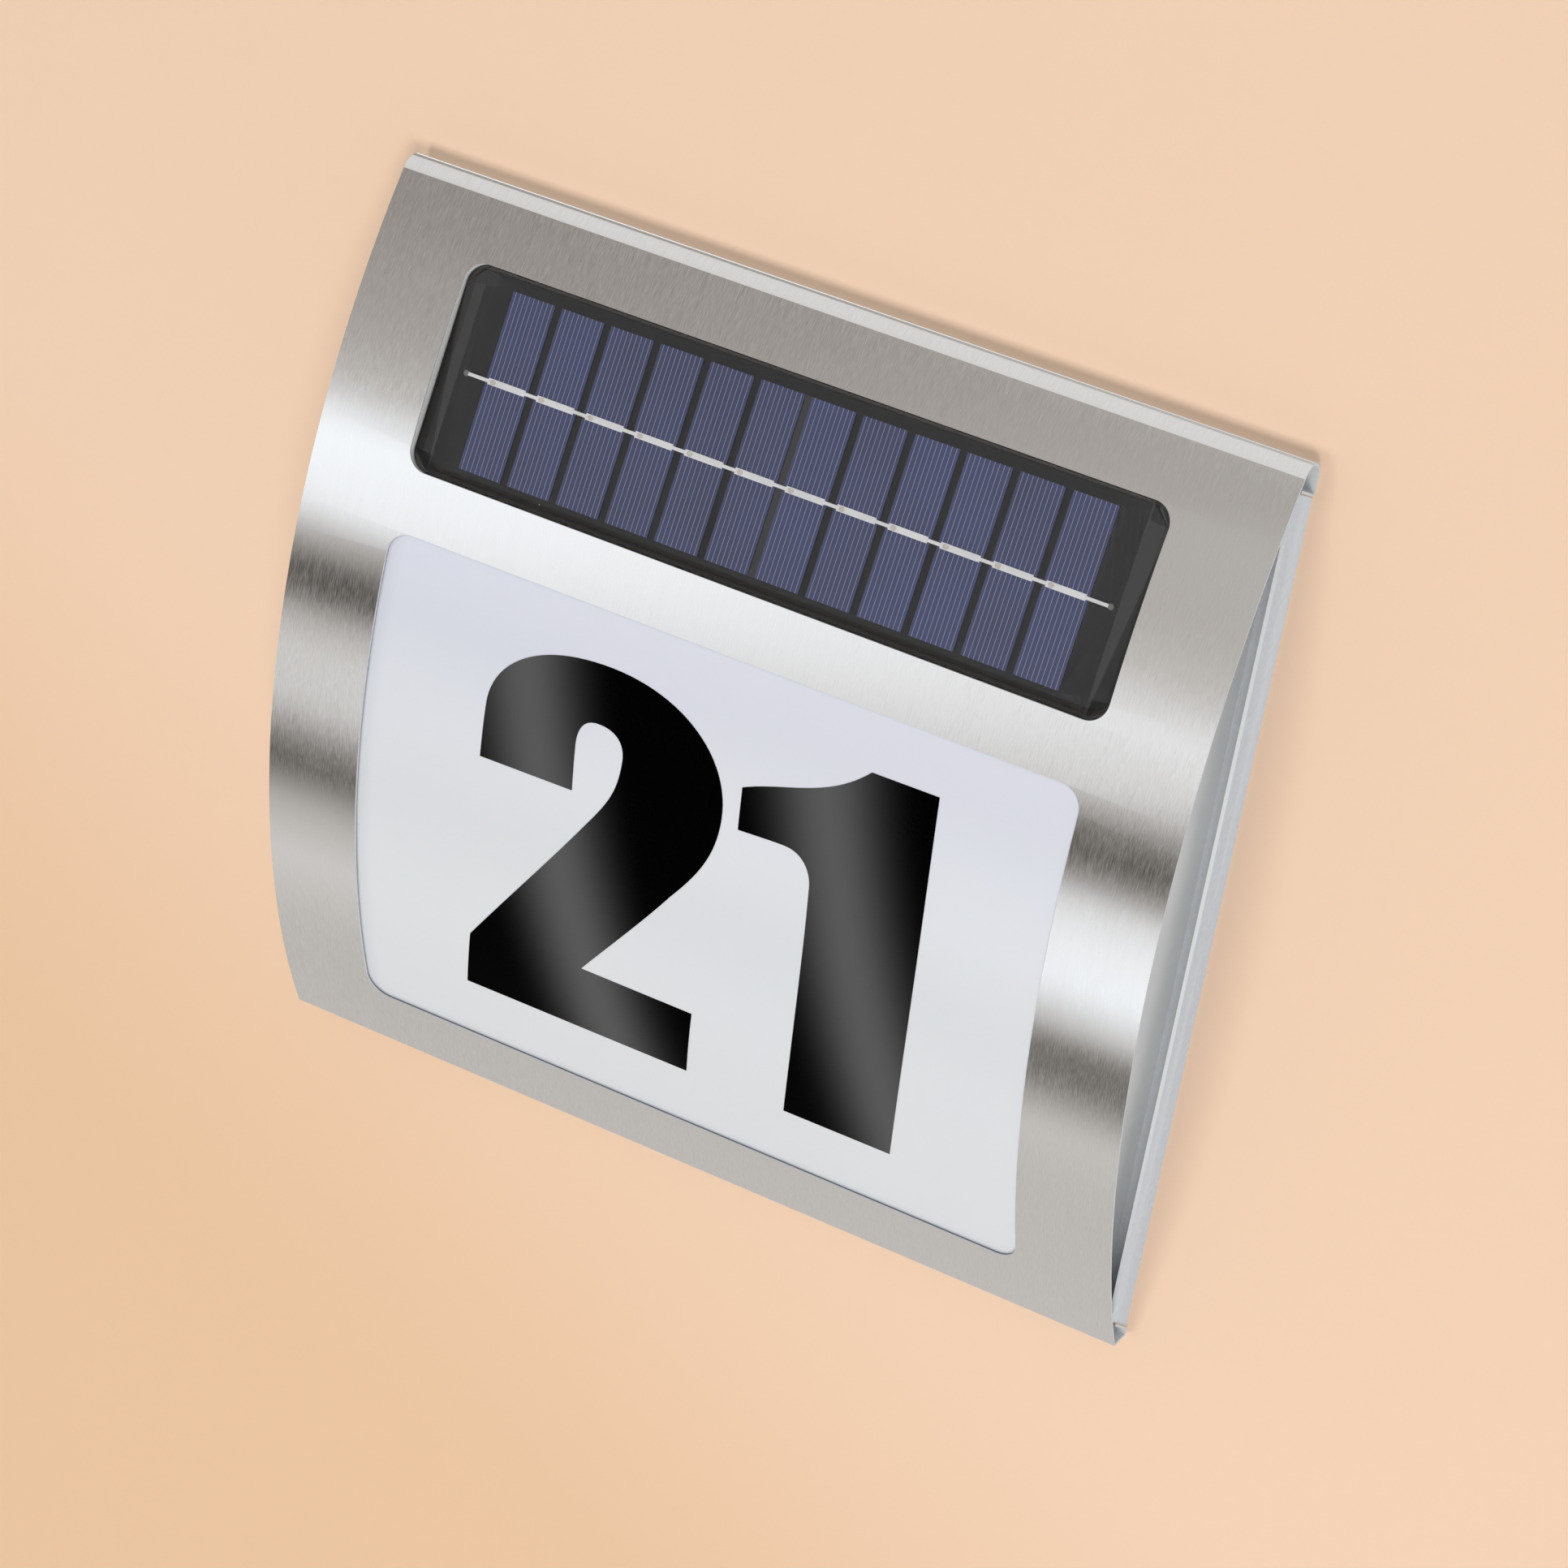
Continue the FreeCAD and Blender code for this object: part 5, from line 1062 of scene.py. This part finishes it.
# Height of the mirrored ray, and how bright the room is there on its left and on its right.
ROOM_BANDS = [
    (-1.00, 0.68, 0.74),
    (-0.88, 0.68, 0.72),
    (-0.80, 0.92, 0.80),
    (-0.72, 0.68, 0.16),
    (-0.66, 0.13, 0.22),
    (-0.62, 0.20, 0.95),
    (-0.54, 0.78, 1.60),
    (-0.44, 0.83, 1.45),
    (-0.37, 0.56, 1.25),
    (-0.32, 0.10, 0.50),
    (-0.27, 0.09, 0.10),
    (-0.21, 0.62, 0.16),
    (-0.14, 1.38, 0.60),
    (-0.07, 1.50, 0.92),
    (0.03, 1.55, 1.10),
    (0.13, 0.68, 0.78),
    (0.25, 0.50, 0.66),
    (0.45, 0.38, 0.72),
    (0.56, 0.33, 0.56),
    (0.62, 0.95, 1.00),
    (1.00, 1.00, 1.02),
]
ROOM_TOP = 1.6
ROOM_SIDES = (-0.43, -0.29)
FAR_SIDE = (-0.05, 0.2)
FAR_SIDE_LEVEL = 0.72
DARK_WARMTH = 0.13
LIGHT_COOLING = 0.17


def soft_lamp(name, place, size, power):
    """A square soft lamp that looks at the sign. Metal mirrors the room, not the lamp."""
    data = bpy.data.lights.new(name, "AREA")
    data.size = size
    data.energy = power
    lamp = bpy.data.objects.new(name, data)
    bpy.context.scene.collection.objects.link(lamp)
    lamp.location = place
    lamp.rotation_euler = (-place).to_track_quat("-Z", "Y").to_euler()
    lamp.visible_glossy = False


soft_lamp("key_lamp", KEY_PLACE, KEY_SIZE, KEY_POWER)
soft_lamp("side_lamp", SIDE_PLACE, SIDE_SIZE, SIDE_POWER)
soft_lamp("back_lamp", BACK_PLACE, BACK_SIZE, BACK_POWER)

world = bpy.data.worlds.new("room")
bpy.context.scene.world = world
world.use_nodes = True
tree = world.node_tree
tree.nodes.clear()
heading = split(tree, add(tree, "ShaderNodeTexCoord").outputs["Generated"])


def room_side(number):
    """The bands of one side of the room, from its floor to its ceiling."""
    node = add(tree, "ShaderNodeValToRGB", {0: calc(tree, "MULTIPLY_ADD", heading[2], 0.5, 0.5)})
    ramp = node.color_ramp
    ramp.elements.remove(ramp.elements[1])
    for place_in_list, band in enumerate(ROOM_BANDS):
        where = band[0] / 2 + 0.5
        stop = ramp.elements.new(where) if place_in_list else ramp.elements[0]
        stop.position = where
        shade = band[number] / ROOM_TOP
        warmth = DARK_WARMTH - LIGHT_COOLING * shade
        stop.color = (shade * (1 + warmth), shade, shade * (1 - warmth), 1.0)
    return node.outputs[0]


to_right = grade(tree, heading[0], *ROOM_SIDES)
room = blend_colours(tree, to_right, room_side(1), room_side(2))
far_side = grade(tree, heading[0], *FAR_SIDE)
room = blend_colours(tree, far_side, room, grey(FAR_SIDE_LEVEL / ROOM_TOP))
mirrored = add(tree, "ShaderNodeLightPath").outputs["Is Glossy Ray"]
seen = blend_colours(tree, mirrored, grey(FILL_LEVEL / ROOM_TOP), room)
sky = add(tree, "ShaderNodeBackground", {"Color": seen, "Strength": ROOM_TOP})
output = add(tree, "ShaderNodeOutputWorld")
tree.links.new(sky.outputs[0], output.inputs["Surface"])

bpy.context.scene.view_settings.view_transform = "Standard"
